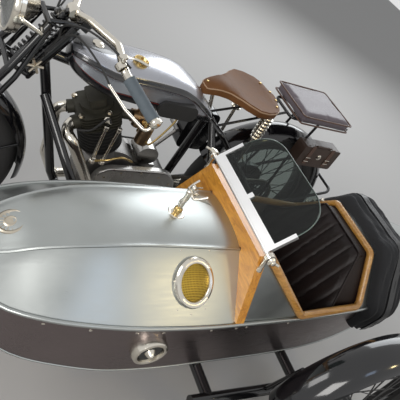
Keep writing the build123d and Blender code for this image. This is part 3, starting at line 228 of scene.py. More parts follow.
# Timber: rings drawn out along the board
timber, g_in, g_out = effect(
    "timber",
    [("Point", POINT, None), ("Along", POINT, (12.0, 2.0, 12.0)), ("Dark", TINT, None),
     ("Light", TINT, None)],
    [("Color", TINT), ("Ring", NUMBER)],
)
run = add_node(timber, "ShaderNodeVectorMath", [(g_in.outputs["Point"], 0), (g_in.outputs["Along"], 1)],
               operation="MULTIPLY")
wander = add_node(timber, "ShaderNodeTexNoise", [(run.outputs[0], "Vector")], in_Scale=2.2, in_Detail=3.0)
warp = add_node(timber, "ShaderNodeVectorMath", [(run.outputs[0], 0), (wander.outputs["Color"], 1)],
                operation="ADD")
rings = add_node(timber, "ShaderNodeTexNoise", [(warp.outputs[0], "Vector")], in_Scale=6.5, in_Detail=7.0,
                 in_Roughness=0.68)
ramp = add_node(timber, "ShaderNodeMapRange", [(rings.outputs["Fac"], 0)], in_1=0.32, in_2=0.68)
shade = add_node(timber, "ShaderNodeMix", [(ramp.outputs[0], 0), (g_in.outputs["Dark"], 6),
                                           (g_in.outputs["Light"], 7)],
                 data_type="RGBA")
timber.links.new(shade.outputs[2], g_out.inputs["Color"])
timber.links.new(rings.outputs["Fac"], g_out.inputs["Ring"])

# Weave: crossed threads of a closely woven cloth
weave, g_in, g_out = effect("weave", [("Point", POINT, None), ("Scale", NUMBER, 420.0)], [("Height", NUMBER)])
warp_x = add_node(weave, "ShaderNodeTexWave", [(g_in.outputs["Point"], "Vector"),
                                               (g_in.outputs["Scale"], "Scale")],
                  bands_direction="X")
weft_z = add_node(weave, "ShaderNodeTexWave", [(g_in.outputs["Point"], "Vector"),
                                               (g_in.outputs["Scale"], "Scale")],
                  bands_direction="DIAGONAL")
cross = add_node(weave, "ShaderNodeMath", [(warp_x.outputs["Fac"], 0), (weft_z.outputs["Fac"], 1)],
                 operation="MAXIMUM")
weave.links.new(cross.outputs[0], g_out.inputs["Height"])


def finish(name, metallic=0.0, coat=0.0, rough=0.5, sheen=0.0):
    """An empty finish: its tree, its shader and the object's coordinates."""
    made = bpy.data.materials.new(name)
    made.use_nodes = True
    tree = made.node_tree
    tree.nodes.clear()
    out = tree.nodes.new("ShaderNodeOutputMaterial")
    shader = tree.nodes.new("ShaderNodeBsdfPrincipled")
    tree.links.new(shader.outputs[0], out.inputs["Surface"])
    shader.inputs["Metallic"].default_value = metallic
    shader.inputs["Coat Weight"].default_value = coat
    shader.inputs["Coat Roughness"].default_value = 0.06
    shader.inputs["Roughness"].default_value = rough
    shader.inputs["Sheen Weight"].default_value = sheen
    place = tree.nodes.new("ShaderNodeTexCoord")
    return made, tree, shader, place.outputs["Object"]


def group_node(tree, group, links=(), **values):
    """One of the shared effects placed in a finish."""
    node = tree.nodes.new("ShaderNodeGroup")
    node.node_tree = group
    for key, value in values.items():
        node.inputs[key.replace("_", " ")].default_value = value
    for source, target in links:
        tree.links.new(source, node.inputs[target])
    return node


def bump(tree, shader, source, strength, distance):
    """A surface height into the shader's normal."""
    node = add_node(tree, "ShaderNodeBump", [(source, "Height")], in_Strength=strength, in_Distance=distance)
    tree.links.new(node.outputs[0], shader.inputs["Normal"])


def mottled(name, dark, light, rough_low, rough_high, scale=14.0, metallic=0.0, coat=0.0, relief=0.0):
    """A finish of two close tints with uneven gloss, for paint, plating, castings and rubber."""
    made, tree, shader, point = finish(name, metallic, coat)
    tone = group_node(tree, mottle, [(point, "Point")], Scale=scale, Dark=(*dark, 1), Light=(*light, 1),
                      Rough_low=rough_low, Rough_high=rough_high)
    tree.links.new(tone.outputs["Color"], shader.inputs["Base Color"])
    tree.links.new(tone.outputs["Roughness"], shader.inputs["Roughness"])
    if relief:
        bump(tree, shader, tone.outputs["Cloud"], 0.6, relief)
    return made


def sheet_metal(name, dark, light, along, rough_low, rough_high):
    """Brushed and polished sheet, its streaks along one way."""
    made, tree, shader, point = finish(name, 1.0)
    marks = group_node(tree, brushing, [(point, "Point")], Along=along)
    tone = add_node(tree, "ShaderNodeMix", [(marks.outputs["Patch"], 0)], data_type="RGBA", in_6=(*dark, 1),
                    in_7=(*light, 1))
    both = add_node(tree, "ShaderNodeMath", [(marks.outputs["Streak"], 0), (marks.outputs["Patch"], 1)],
                    operation="MULTIPLY")
    rough = add_node(tree, "ShaderNodeMapRange", [(both.outputs[0], 0)], in_1=0.1, in_2=0.45, in_3=rough_low,
                     in_4=rough_high)
    tree.links.new(tone.outputs[2], shader.inputs["Base Color"])
    tree.links.new(rough.outputs[0], shader.inputs["Roughness"])
    bump(tree, shader, marks.outputs["Streak"], 0.06, 0.0002)
    return made


def leather(name, dark, light, rough_low, rough_high, scale=230.0, coat=0.1, shine=0.5):
    """Worn leather: creases, pores and rubbed patches."""
    made, tree, shader, point = finish(name, 0.0, coat)
    shader.inputs["Specular IOR Level"].default_value = shine
    tone = group_node(tree, mottle, [(point, "Point")], Scale=9.0, Dark=(*dark, 1), Light=(*light, 1),
                      Rough_low=rough_low, Rough_high=rough_high)
    skin = group_node(tree, hide, [(point, "Point")], Scale=scale)
    tree.links.new(tone.outputs["Color"], shader.inputs["Base Color"])
    tree.links.new(tone.outputs["Roughness"], shader.inputs["Roughness"])
    bump(tree, shader, skin.outputs["Height"], 0.35, 0.0012)
    return made


def wood(name, dark, light, along):
    """Varnished hardwood."""
    made, tree, shader, point = finish(name, 0.0, 0.7, 0.35)
    board = group_node(tree, timber, [(point, "Point")], Along=along, Dark=(*dark, 1), Light=(*light, 1))
    tree.links.new(board.outputs["Color"], shader.inputs["Base Color"])
    bump(tree, shader, board.outputs["Ring"], 0.15, 0.0006)
    return made


body_metal = sheet_metal("body_metal", (0.34, 0.36, 0.35), (0.49, 0.51, 0.50), (1.0, 20.0, 20.0), 0.27, 0.38)
# Hull sheet: the deck's aluminium again, painted darker and browner as the shade on the hull's lower sides
shaded_hull_metal = sheet_metal("shaded_hull_metal", (0.15, 0.12, 0.12), (0.23, 0.19, 0.19), (1.0, 26.0, 26.0), 0.22, 0.42)
pale_leather = leather("pale_leather", (0.34, 0.20, 0.11), (0.55, 0.36, 0.22), 0.35, 0.55)
brown_welt = leather("brown_welt", (0.060, 0.028, 0.018), (0.16, 0.080, 0.050), 0.30, 0.50, 400.0)
strap_leather = leather("strap_leather", (0.010, 0.010, 0.011), (0.030, 0.030, 0.032), 0.30, 0.50, 400.0)
trim_metal = sheet_metal("trim_metal", (0.74, 0.74, 0.74), (0.88, 0.88, 0.88), (2.0, 2.0, 2.0), 0.30, 0.42)
nickel = mottled("nickel", (0.62, 0.58, 0.50), (0.78, 0.74, 0.66), 0.10, 0.26, 20.0, 1.0)
aged_nickel = mottled("aged_nickel", (0.42, 0.37, 0.29), (0.66, 0.60, 0.50), 0.18, 0.42, 24.0, 1.0)
black_enamel = mottled("black_enamel", (0.003, 0.003, 0.004), (0.009, 0.009, 0.010), 0.10, 0.22, 9.0, 0.0,
                       0.4)
guard_enamel = mottled("guard_enamel", (0.003, 0.003, 0.004), (0.008, 0.008, 0.010), 0.08, 0.18, 6.0, 0.0,
                       0.5)
rim_enamel = mottled("rim_enamel", (0.012, 0.012, 0.013), (0.030, 0.029, 0.028), 0.24, 0.42, 12.0, 0.0, 0.2)
cast_alloy = mottled("cast_alloy", (0.16, 0.155, 0.15), (0.34, 0.33, 0.32), 0.34, 0.58, 26.0, 0.9, 0.0,
                     0.0006)
polished_alloy = mottled("polished_alloy", (0.40, 0.39, 0.37), (0.58, 0.57, 0.55), 0.20, 0.38, 18.0, 1.0)
barrel_black = mottled("barrel_black", (0.012, 0.012, 0.012), (0.045, 0.042, 0.038), 0.55, 0.75, 40.0, 0.1,
                       0.0, 0.0004)
head_olive = mottled("head_olive", (0.022, 0.020, 0.014), (0.060, 0.056, 0.040), 0.50, 0.72, 30.0, 0.3, 0.0,
                     0.0005)
brown_metal = mottled("brown_metal", (0.20, 0.13, 0.08), (0.44, 0.32, 0.20), 0.28, 0.50, 30.0, 1.0)
brass = mottled("brass", (0.42, 0.29, 0.10), (0.68, 0.50, 0.22), 0.18, 0.40, 30.0, 1.0)
grey_rubber = mottled("grey_rubber", (0.085, 0.105, 0.125), (0.15, 0.18, 0.20), 0.55, 0.75, 60.0, 0.0, 0.0,
                      0.0003)
black_rubber = mottled("black_rubber", (0.012, 0.012, 0.012), (0.035, 0.034, 0.033), 0.55, 0.80, 40.0, 0.0,
                       0.0, 0.0004)
tyre_rubber = mottled("tyre_rubber", (0.014, 0.014, 0.015), (0.040, 0.039, 0.037), 0.62, 0.85, 16.0, 0.0, 0.0,
                      0.0005)
chain_steel = mottled("chain_steel", (0.06, 0.055, 0.05), (0.20, 0.18, 0.15), 0.35, 0.60, 50.0, 0.9)
saddle_leather = leather("saddle_leather", (0.09, 0.034, 0.011), (0.26, 0.115, 0.043), 0.48, 0.64, 300.0, 0.0,
                         0.2)
seat_leather = leather("seat_leather", (0.006, 0.003, 0.003), (0.018, 0.010, 0.009), 0.30, 0.46, 420.0, 0.0,
                       0.25)
pad_leather = leather("pad_leather", (0.10, 0.080, 0.095), (0.20, 0.165, 0.185), 0.38, 0.54, 520.0, 0.10)
box_leather = leather("box_leather", (0.020, 0.011, 0.008), (0.075, 0.042, 0.028), 0.34, 0.60)
hoop_wood = wood("hoop_wood", (0.54, 0.185, 0.016), (0.96, 0.45, 0.058), (14.0, 2.2, 9.0))
rail_wood = wood("rail_wood", (0.38, 0.155, 0.024), (0.70, 0.37, 0.085), (2.4, 14.0, 14.0))

hood_cloth, tree, shader, point = finish("hood_cloth", 0.0, 0.0, 0.85, 0.10)
threads = group_node(tree, weave, [(point, "Point")], Scale=520.0)
tone = group_node(tree, mottle, [(point, "Point")], Scale=7.0, Dark=(0.006, 0.006, 0.008, 1),
                  Light=(0.022, 0.023, 0.026, 1),
                  Rough_low=0.75, Rough_high=0.95)
tree.links.new(tone.outputs["Color"], shader.inputs["Base Color"])
tree.links.new(tone.outputs["Roughness"], shader.inputs["Roughness"])
bump(tree, shader, threads.outputs["Height"], 0.3, 0.0006)

screen_glass, tree, shader, point = finish("screen_glass", 0.0, 0.0, 0.02)
smear = group_node(tree, mottle, [(point, "Point")], Scale=6.0, Dark=(0.16, 0.20, 0.18, 1),
                   Light=(0.22, 0.26, 0.24, 1),
                   Rough_low=0.0, Rough_high=0.03)
tree.links.new(smear.outputs["Color"], shader.inputs["Base Color"])
shader.inputs["Transmission Weight"].default_value = 1.0
shader.inputs["IOR"].default_value = 1.35

edge_glass = mottled("edge_glass", (0.10, 0.14, 0.12), (0.22, 0.28, 0.25), 0.08, 0.16, 20.0, 0.0, 0.6)
cream = mottled("cream", (0.62, 0.56, 0.44), (0.80, 0.76, 0.66), 0.20, 0.34, 30.0, 0.0, 0.4)
cream_metal = mottled("cream_metal", (0.50, 0.45, 0.34), (0.74, 0.70, 0.58), 0.22, 0.40, 30.0, 0.6)

lamp_glass, tree, shader, point = finish("lamp_glass", 0.0, 0.6, 0.06)
shine = group_node(tree, mottle, [(point, "Point")], Scale=30.0, Dark=(0.10, 0.11, 0.11, 1),
                   Light=(0.34, 0.35, 0.34, 1),
                   Rough_low=0.04, Rough_high=0.12)
tree.links.new(shine.outputs["Color"], shader.inputs["Base Color"])
tree.links.new(shine.outputs["Roughness"], shader.inputs["Roughness"])
shader.inputs["Metallic"].default_value = 0.6

# Woven brass: crossed wires, with painted shade in the gaps between them where the dark inside of the vent
# would show
brass_mesh, tree, shader, point = finish("brass_mesh", 0.9, 0.0, 0.35)
wires = add_node(tree, "ShaderNodeTexWave", [(point, "Vector")], in_Scale=70.0, bands_direction="X")
wefts = add_node(tree, "ShaderNodeTexWave", [(point, "Vector")], in_Scale=70.0, bands_direction="Y")
knit = add_node(tree, "ShaderNodeMath", [(wires.outputs["Fac"], 0), (wefts.outputs["Fac"], 1)],
                operation="MAXIMUM")
gilt_and_gap_shade = add_node(tree, "ShaderNodeMix", [(knit.outputs[0], 0)], data_type="RGBA", in_6=(0.10, 0.06, 0.01, 1),
                in_7=(0.46, 0.31, 0.05, 1))
tree.links.new(gilt_and_gap_shade.outputs[2], shader.inputs["Base Color"])
bump(tree, shader, knit.outputs[0], 0.5, 0.0008)

# Tank paint: silver side panels edged with black and a red line, on the tank's own map
tank_paint, tree, shader, point = finish("tank_paint", 0.0, 0.8, 0.22)
chart = add_node(tree, "ShaderNodeTexCoord")
split = add_node(tree, "ShaderNodeSeparateXYZ", [(chart.outputs["UV"], 0)])


def count(operation, a, b=None, clamp=False):
    """One sum in the tank's paint; a and b are sockets or numbers."""
    node = tree.nodes.new("ShaderNodeMath")
    node.operation = operation
    node.use_clamp = clamp
    for slot_number, value in enumerate((a, b)):
        if value is None:
            continue
        if isinstance(value, (int, float)):
            node.inputs[slot_number].default_value = value
        else:
            tree.links.new(value, node.inputs[slot_number])
    return node.outputs[0]


along, round_it = split.outputs["X"], split.outputs["Y"]
height = count("SUBTRACT", 1.0, count("ABSOLUTE", count("SUBTRACT", count("MULTIPLY", round_it, 2.0), 1.0)))


def panel_edge(middle_u, half_u, middle_h, half_h):
    """Distance in millimetres outside a panel's edge on the map."""
    side_way = count("MULTIPLY", count("SUBTRACT", count("ABSOLUTE", count("SUBTRACT", along, middle_u)),
                                       half_u), 600.0)
    up_way = count("MULTIPLY", count("SUBTRACT", count("ABSOLUTE", count("SUBTRACT", height, middle_h)),
                                     half_h), 330.0)
    return count("MAXIMUM", side_way, up_way)


def within(distance, low, high):
    """One where a distance lies between two values."""
    return count("MULTIPLY", count("GREATER_THAN", distance, low), count("LESS_THAN", distance, high))


side_panel = panel_edge(0.52, 0.42, 0.385, 0.095)
top_panel = panel_edge(0.50, 0.46, 0.86, 0.20)
silver = count("MAXIMUM", count("LESS_THAN", side_panel, 0.0), count("LESS_THAN", top_panel, 0.0))
oval_u = count("POWER", count("DIVIDE", count("SUBTRACT", along, 0.80), 0.14), 2.0)
oval_h = count("POWER", count("DIVIDE", count("SUBTRACT", height, 1.0), 0.13), 2.0)
silver = count("MULTIPLY", silver, count("GREATER_THAN", count("ADD", oval_u, oval_h), 1.0))
red = within(side_panel, 2.5, 4.5)
coat_tone = group_node(tree, mottle, [(point, "Point")], Scale=5.0, Dark=(0.34, 0.35, 0.39, 1),
                       Light=(0.48, 0.49, 0.53, 1),
                       Rough_low=0.22, Rough_high=0.34)
base = add_node(tree, "ShaderNodeMix", [(silver, 0), (coat_tone.outputs["Color"], 7)], data_type="RGBA",
                in_6=(0.008, 0.008, 0.010, 1))
lined = add_node(tree, "ShaderNodeMix", [(red, 0), (base.outputs[2], 6)], data_type="RGBA",
                 in_7=(0.32, 0.025, 0.020, 1))
tree.links.new(lined.outputs[2], shader.inputs["Base Color"])
tree.links.new(count("MULTIPLY", silver, 0.75), shader.inputs["Metallic"])
tree.links.new(coat_tone.outputs["Roughness"], shader.inputs["Roughness"])

finishes = {
    "frame": black_enamel, "sidecar_chassis": black_enamel, "carrier": black_enamel,
            "rear_stand": black_enamel,
    "saddle_springs": nickel, "fuel_tank": black_enamel, "knee_grips": black_rubber, "crankcase": cast_alloy,
    "gearbox": cast_alloy, "primary_case": polished_alloy, "magneto": polished_alloy,
            "cylinder": barrel_black,
    "cylinder_head": head_olive, "carburettor": brown_metal, "exhausts": nickel, "oil_tank": black_enamel,
    "saddle": saddle_leather, "pillion_pad": pad_leather, "toolbox": box_leather, "toolbox_lid": box_leather,
    "rear_guard": guard_enamel, "front_guard": guard_enamel, "side_guard": guard_enamel,
            "footrests": black_rubber,
    "rear_chain": chain_steel, "hull": body_metal, "front_deck": body_metal, "rear_deck": body_metal,
    "cockpit_sides": body_metal, "scuttle_hoop": hoop_wood, "coaming": rail_wood, "windscreen_clamps": nickel,
    "windscreen_frame": trim_metal, "windscreen_glass": screen_glass, "seat_cushion": seat_leather,
    "seat_back": seat_leather, "hood": hood_cloth, "deck_fittings": nickel, "fork": black_enamel,
    "fork_spring": black_enamel, "handlebar": nickel, "grips": grey_rubber, "headlamp": nickel,
    "front_wheel": rim_enamel, "rear_wheel": rim_enamel, "side_wheel": rim_enamel,
    "front_tyre": tyre_rubber, "rear_tyre": tyre_rubber, "side_tyre": tyre_rubber,
}
for node, material in finishes.items():
    for mark in nodes[node].material_slots:
        mark.material = material


# Modelling helpers
def mesh_from(work, name, crease=35.0):
    """A finished mesh: doubles merged, normals outward, smooth up to the crease angle."""
    bmesh.ops.remove_doubles(work, verts=work.verts, dist=1e-5)
    bmesh.ops.recalc_face_normals(work, faces=work.faces)
    mesh = bpy.data.meshes.new(name)
    work.to_mesh(mesh)
    work.free()
    mesh.shade_smooth()
    mesh.set_sharp_from_angle(angle=radians(crease))
    return mesh


def place(name, mesh, body, material, slot, replaced=()):
    """A piece that rides on a body, with its finish; the slot is not used."""
    piece = bpy.data.objects.new(name, mesh)
    bpy.context.scene.collection.objects.link(piece)
    piece.data.materials.clear()
    piece.data.materials.append(material)
    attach(piece, body)
    if replaced:
        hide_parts(*replaced)
    return piece


def fitted(name, work, material, slot, body="outfit", crease=35.0, replaced=()):
    """A piece from modelling work, its mesh named like the piece."""
    return place(name, mesh_from(work, name, crease), body, material, slot, replaced)


def skin(work, rows, closed=True, caps=True):
    """Adds a surface through rows of points to a mesh, with a map along and round it."""
    chart = work.loops.layers.uv.verify()
    rings = [[work.verts.new(point) for point in row] for row in rows]
    count = len(rows[0])
    steps = count if closed else count - 1
    for i in range(len(rings) - 1):
        for j in range(steps):
            k = (j + 1) % count
            face = work.faces.new((rings[i][j], rings[i][k], rings[i + 1][k], rings[i + 1][j]))
            for loop, (a, b) in zip(face.loops, ((i, j), (i, j + 1), (i + 1, j + 1), (i + 1, j))):
                loop[chart].uv = (a / (len(rings) - 1), b / steps)
    if caps:
        work.faces.new(rings[0][::-1])
        work.faces.new(rings[-1])
    return work


def across(axis):
    """Two directions square to an axis."""
    axis = Vector(axis).normalized()
    side = axis.cross(Vector((0, 0, 1)) if abs(axis.z) < 0.9 else Vector((1, 0, 0))).normalized()
    return side, axis.cross(side)


def turned(work, base, axis, profile, sides=32, squeeze=(1.0, 1.0), first=None):
    """Adds a turned shape: (distance along the axis, radius) in millimetres from its base."""
    axis = Vector(axis).normalized()
    one, two = across(axis) if first is None else (Vector(first).normalized(),
                                                   axis.cross(Vector(first).normalized()))
    rows = []
    for along, radius in profile:
        middle = Vector(base) + axis * (along / 1000)
        size = max(radius, 0.05) / 1000
        rows.append([middle + one * (size * squeeze[0] * cos(2 * pi * k / sides))
                     + two * (size * squeeze[1] * sin(2 * pi * k / sides)) for k in range(sides)])
    return skin(work, rows)


def hose(work, points, radius, sides=10, closed=False, smooth=6):
    """Adds a round rod along a smooth line through the points; radius in millimetres."""
    path = smooth_line([Vector(point) for point in points], smooth,
                       closed) if smooth else [Vector(p) for p in points]
    count = len(path)
    rows = []
    one = None
    for i, point in enumerate(path):
        if closed:
            ahead = (path[(i + 1) % count] - path[i - 1]).normalized()
        else:
            ahead = (path[min(i + 1, count - 1)] - path[max(i - 1, 0)]).normalized()
        one = across(ahead)[0] if one is None else (one - ahead * one.dot(ahead)).normalized()
        two = ahead.cross(one)
        rows.append([point + (one * cos(2 * pi * k / sides) + two * sin(2 * pi * k / sides)) * (radius / 1000)
                     for k in range(sides)])
    if closed:
        rows.append(rows[0])
    return skin(work, rows, caps=not closed)


def smooth_line(points, steps, closed=False):
    """A line that bends evenly through points."""
    count = len(points)
    line = []
    for i in range(count if closed else count - 1):
        if closed:
            a, b, c, d = (points[(i + k) % count] for k in (-1, 0, 1, 2))
        else:
            a, b, c, d = (points[min(max(i + k, 0), count - 1)] for k in (-1, 0, 1, 2))
        for k in range(steps):
            t = k / steps
            line.append(0.5 * (2 * b + (c - a) * t + (2 * a - 5 * b + 4 * c - d) * t**2
                               + (3 * b - a - 3 * c + d) * t**3))
    return line if closed else line + [points[-1]]


def copied(work, master, place_at, axis):
    """Adds a copy of a master mesh, its z along an axis, at a point."""
    turn = Vector(axis).to_track_quat("Z", "Y").to_matrix().to_4x4()
    before = set(work.verts)
    work.from_mesh(master)
    bmesh.ops.transform(work, matrix=Matrix.Translation(place_at) @ turn,
                        verts=[v for v in work.verts if v not in before])
    return work


trees = {}


def surface_of(node, start, way):
    """The point where a line first meets a CAD node, and the surface's direction there."""
    if node not in trees:
        mesh = nodes[node].data
        trees[node] = BVHTree.FromPolygons([v.co for v in mesh.vertices], [p.vertices for p in mesh.polygons])
    point, out, _, _ = trees[node].ray_cast(Vector(start), Vector(way))
    if point is None:
        return None
    return point, -out if out.dot(Vector(way)) > 0 else out


# Body panels: merged copies, so that light runs smoothly along the curves
def merged(name, node, material, slot, crease=28.0):
    """A copy of a CAD node's mesh with its doubles merged and its curves shaded smooth."""
    work = bmesh.new()
    work.from_mesh(nodes[node].data)
    return fitted(name, work, material, slot, crease=crease, replaced=[node])


# x, the deck's half width and height, the chine's half width, the bottom's half width and height
body_stations = [
    (-520, 26, 600, 58, 44, 420), (-300, 74, 652, 150, 128, 338), (60, 107, 690, 228, 204, 300),
                 (603, 108, 690, 256, 232, 300),
    (870, 102, 685, 251, 226, 300), (1020, 98, 671, 233, 200, 308), (1140, 85, 643, 205, 165, 325),
    (1225, 68, 604, 165, 118, 362), (1330, 20, 562, 62, 42, 440),
]
chine_z = 545.0
body_tail, body_nose = -518, 1328  # ends of the sheets


def station_at(x):
    """The body's section numbers at one place along it, bending evenly through the stations."""
    for i in range(len(body_stations) - 1):
        if x <= body_stations[i + 1][0]:
            break
    before, low, high, after = (body_stations[min(max(i + k, 0), len(body_stations) - 1)]
                                for k in (-1, 0, 1, 2))
    wide = high[0] - low[0]
    t = (x - low[0]) / wide
    values = []
    for a, b, c, d in zip(before[1:], low[1:], high[1:], after[1:]):
        start = (c - a) / (high[0] - before[0]) * wide if before is not low else c - b
        end = (d - b) / (after[0] - low[0]) * wide if after is not high else c - b
        values.append(b + start * t + (3 * (c - b) - 2 * start - end) * t**2 + (start + end - 2 * (c - b))
                      * t**3)
    return values


def deck_row(x, lift=0.6):
    """The deck's section: side panel, rolled ridge, cambered top and back down, in metres."""
    deck, top, wide, _, _ = station_at(x)
    half = [(wide + lift + (deck - wide) * k / 8, chine_z + (top - chine_z) * k / 8 + lift) for k in range(8)]
    half += [(deck + 4.0, top - 3.5), (deck + 4.6, top + 0.5), (deck + 1.5, top + 3.2),
             (deck - 3.0, top + 2.6)]
    half += [((deck - 6.0) * cos(pi / 2 * k / 6), top + 1.8 + 13.5 * sin(pi / 2 * k / 6) ** 1.4)
             for k in range(1, 7)]
    return [car(x, y, z) for y, z in half] + [car(x, -y, z) for y, z in half[-2::-1]]


def deck_sheet(name, first, last, replaced, steps):
    """A deck panel between two stations along the body."""
    rows = [deck_row(first + (last - first) * k / steps) for k in range(steps + 1)]
    inner = [[point + Vector((0, 0, -0.003)) for point in row] for row in (rows[0], rows[-1])]
    work = skin(bmesh.new(), [inner[0], *rows, inner[1]], closed=False, caps=False)
    return fitted(name, work, body_metal, "body_aluminium", crease=22, replaced=replaced)


deck_sheet("deck_panel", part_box("front_deck")[0].x * 1000 - rear_x, body_nose, ["front_deck"], 90)
deck_sheet("tail_panel", body_tail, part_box("rear_deck")[1].x * 1000 - rear_x, ["rear_deck"], 60)
# The hull and its lower side strips take the darker copy of the aluminium: painted shade
merged("hull_panel", "hull", shaded_hull_metal, "body_aluminium")
hull_sides = bmesh.new()
for side in (1, -1):
    rows = []
    for k in range(91):
        x = body_tail + (body_nose - body_tail) * k / 90
        _, _, wide, low, under = station_at(x)
        face = [(wide + 1.0 + (low - wide) * n / 6, chine_z - 1 + (under - chine_z) * n / 6)
                for n in range(7)]
        rows.append([car(x, side * y, z) for y, z in face])
    skin(hull_sides, rows, closed=False, caps=False)
fitted("hull_sides", hull_sides, shaded_hull_metal, "body_aluminium", crease=30)
merged("hoop_panel", "scuttle_hoop", hoop_wood, "wood")
merged("coaming_rail", "coaming", rail_wood, "wood", crease=50.0)


# Master shapes that repeat: screws, rivets, hexagon bolts and washers
def by_hand(name, sides, radius, depth, bevel):
    """A cylinder with an eased top edge, as a master mesh in metres."""
    bpy.ops.object.select_all(action="DESELECT")
    bpy.ops.mesh.primitive_cylinder_add(vertices=sides, radius=radius / 1000, depth=depth / 1000)
    shape = bpy.context.object
    bpy.ops.object.mode_set(mode="EDIT")
    bpy.ops.mesh.select_all(action="SELECT")
    bpy.ops.mesh.bevel(offset=bevel / 1000, segments=2, affect="EDGES")
    bpy.ops.object.mode_set(mode="OBJECT")
    mesh = shape.data.copy()
    mesh.name = name
    bpy.data.objects.remove(shape)
    return mesh


screw = by_hand("screw", 12, 5.0, 4.5, 1.6)
small_bolt = by_hand("small_bolt", 6, 5.2, 5.0, 0.8)
big_bolt = by_hand("big_bolt", 6, 9.0, 7.0, 1.2)
washer = by_hand("washer", 20, 10.0, 2.4, 0.6)
rivet = by_hand("rivet", 10, 2.6, 2.4, 0.8)

deck_screws = bmesh.new()
bead_run = [(890, 249), (814, 255), (665, 258), (578, 258), (540, 262), (375, 256), (1010, 234), (1120, 209),
            (250, 252)]
for x, y in bead_run:
    for side in (1, -1):
        found = surface_of("hull", car(x, side * 400, 520), (0, -side, 0))
        if found:
            copied(deck_screws, screw, found[0] + found[1] * 0.0008, found[1])
for x, y in [(690, 170), (806, 168), (748, 96), (748, 232), (705, 112), (792, 112), (705, 222), (792, 222)]:
    found = surface_of("front_deck", car(x, y, 900), (0, 0, -1))
    if found:
        copied(deck_screws, rivet, found[0] + found[1] * 0.0003, found[1])
fitted("deck_screws", deck_screws, nickel, "nickel")

# Deck fittings: oval vent, round vent, nose medallion and figure
panel_out = Vector((0, 0.6925, 0.7215))
oval_vent_at = car(748, 168, 620) + panel_out * 0.006
round_vent_at = car(820, 240, 440)
vent_ring = bmesh.new()
turned(vent_ring, oval_vent_at, panel_out,
       [(0, 46), (0, 58), (8, 60), (13, 57), (15, 51), (13, 45), (8, 42), (0, 42)], 56, (1.0, 1.13),
       (1, 0, 0))
fitted("oval_vent_bezel", vent_ring, nickel, "nickel", replaced=["deck_fittings"])
vent_mesh = bmesh.new()
turned(vent_mesh, oval_vent_at, panel_out, [(0, 44), (6, 43), (9, 30), (10.5, 12), (11, 0.4)],
       48, (1.0, 1.13), (1, 0, 0))
fitted("oval_vent_mesh", vent_mesh, brass_mesh, "nickel", crease=60)

round_vent = bmesh.new()
turned(round_vent, round_vent_at, (0, 1, 0),
       [(0, 50), (22, 50), (28, 47), (30, 42), (28, 37), (20, 35), (16, 34), (12, 20), (20, 15), (34, 9),
        (38, 4), (38, 0.4)], 48)
fitted("round_vent", round_vent, nickel, "nickel")

badge_at, badge_out = car(1185, 0, 612), Vector((0.38, 0, 0.925))
medal = bmesh.new()
turned(medal, badge_at, badge_out,
       [(0, 38), (18, 38), (23, 36), (25, 32), (23, 28), (21, 26), (22, 18), (25, 13), (24, 8), (25, 0.4)],
       48)
one, two = across(badge_out)
dial = badge_at + badge_out.normalized() * 0.0215
for k in range(16):
    angle = 2 * pi * k / 16
    spoke = one * cos(angle) + two * sin(angle)
    hose(medal, [dial + spoke * 0.014, dial + spoke * 0.027], 1.6, 6, smooth=0)
fitted("nose_medallion", medal, aged_nickel, "nickel")

figure_base = bmesh.new()
turned(figure_base, car(775, 0, 688), (0, 0, 1), [(0, 25), (14, 25), (17, 22), (17, 14), (19, 11)], 40)
fitted("figure_base", figure_base, nickel, "nickel")
globe = bmesh.new()
turned(globe, car(775, 0, 703), (0, 0, 1),
       [(12 - 12 * cos(pi * k / 12), 12.5 * sin(pi * k / 12)) for k in range(13)], 28)
fitted("figure_globe", globe, brass, "nickel", crease=60)
figure = bmesh.new()
turned(figure, car(775, 0, 724), (-0.06, 0, 1),
       [(0, 6), (8, 7.5), (20, 6.5), (32, 8.5), (42, 7), (50, 9), (58, 10.5), (62, 8), (65, 4)], 20,
       (0.75, 1.15))
turned(figure, car(771, 0, 787), (-0.06, 0, 1),
       [(0, 3), (2, 5.5), (6, 7.2), (10, 7.4), (15, 6), (18, 3), (19, 0.4)], 20, (1.1, 0.85))
for side in (1, -1):
    hose(figure, [car(772, side * 9, 781), car(766, side * 20, 776), car(752, side * 27, 786),
                  car(738, side * 31, 797)], 3.4, 8)
    hose(figure, [car(775, side * 3.5, 752), car(780, side * 4, 738), car(773, side * 3, 724)], 4.4, 8)
    wing = [[car(770 - 9 * k, side * (6 + 4 * k), 783 - 13 * k + 3 * k * k),
             car(764 - 13 * k, side * (8 + 6 * k), 790 - 5 * k)]
            for k in range(5)]
    skin(figure, [[a, b, b + Vector((0, side * 0.002, 0.001)), a + Vector((0, side * 0.002, -0.001))]
                  for a, b in wing])
fitted("deck_figure", figure, nickel, "nickel", crease=55)

# Fuel tank: one rounded shell through the solid's stations, with a bead along its side
tank_stations = [
    (388, 14, 644, 652, 662), (398, 30, 642, 660, 680), (430, 46, 648, 684, 714), (500, 68, 662, 728, 768),
    (555, 80, 669, 756, 798), (610, 89, 676, 774, 816), (700, 92, 684, 779, 824), (790, 92, 691, 779, 825),
    (845, 90, 696, 778, 822), (900, 80, 712, 787, 828), (950, 62, 733, 797, 830), (976, 40, 752, 797, 819),
    (984, 18, 768, 794, 806),
]


def tank_row(x, half, low, ridge, crown):
    """The tank's section at one station: bottom, side, bead and crown, from the keel round."""
    side = [(0, low), (half * 0.3, low), (half * 0.55, low + 0.5), (half * 0.74, low + 3),
            (half * 0.88, low + 10), (half * 0.95, low + 20), (half * 0.985, low + 32)]
    side += [(half * (0.985 + 0.015 * k / 4), low + 32 + (ridge - low - 38) * k / 4) for k in range(1, 5)]
    side += [(half + 1.0, ridge - 3), (half + 4.0, ridge), (half + 0.5, ridge + 3.5)]
    side += [(half * cos(pi / 2 * k / 10) ** 0.8, ridge + 4 + (crown - ridge - 4) * sin(pi / 2 * k / 10))
             for k in range(1, 10)]
    side += [(0, crown)]
    return [bike(x, y, z) for y, z in side] + [bike(x, -y, z) for y, z in side[-2:0:-1]]


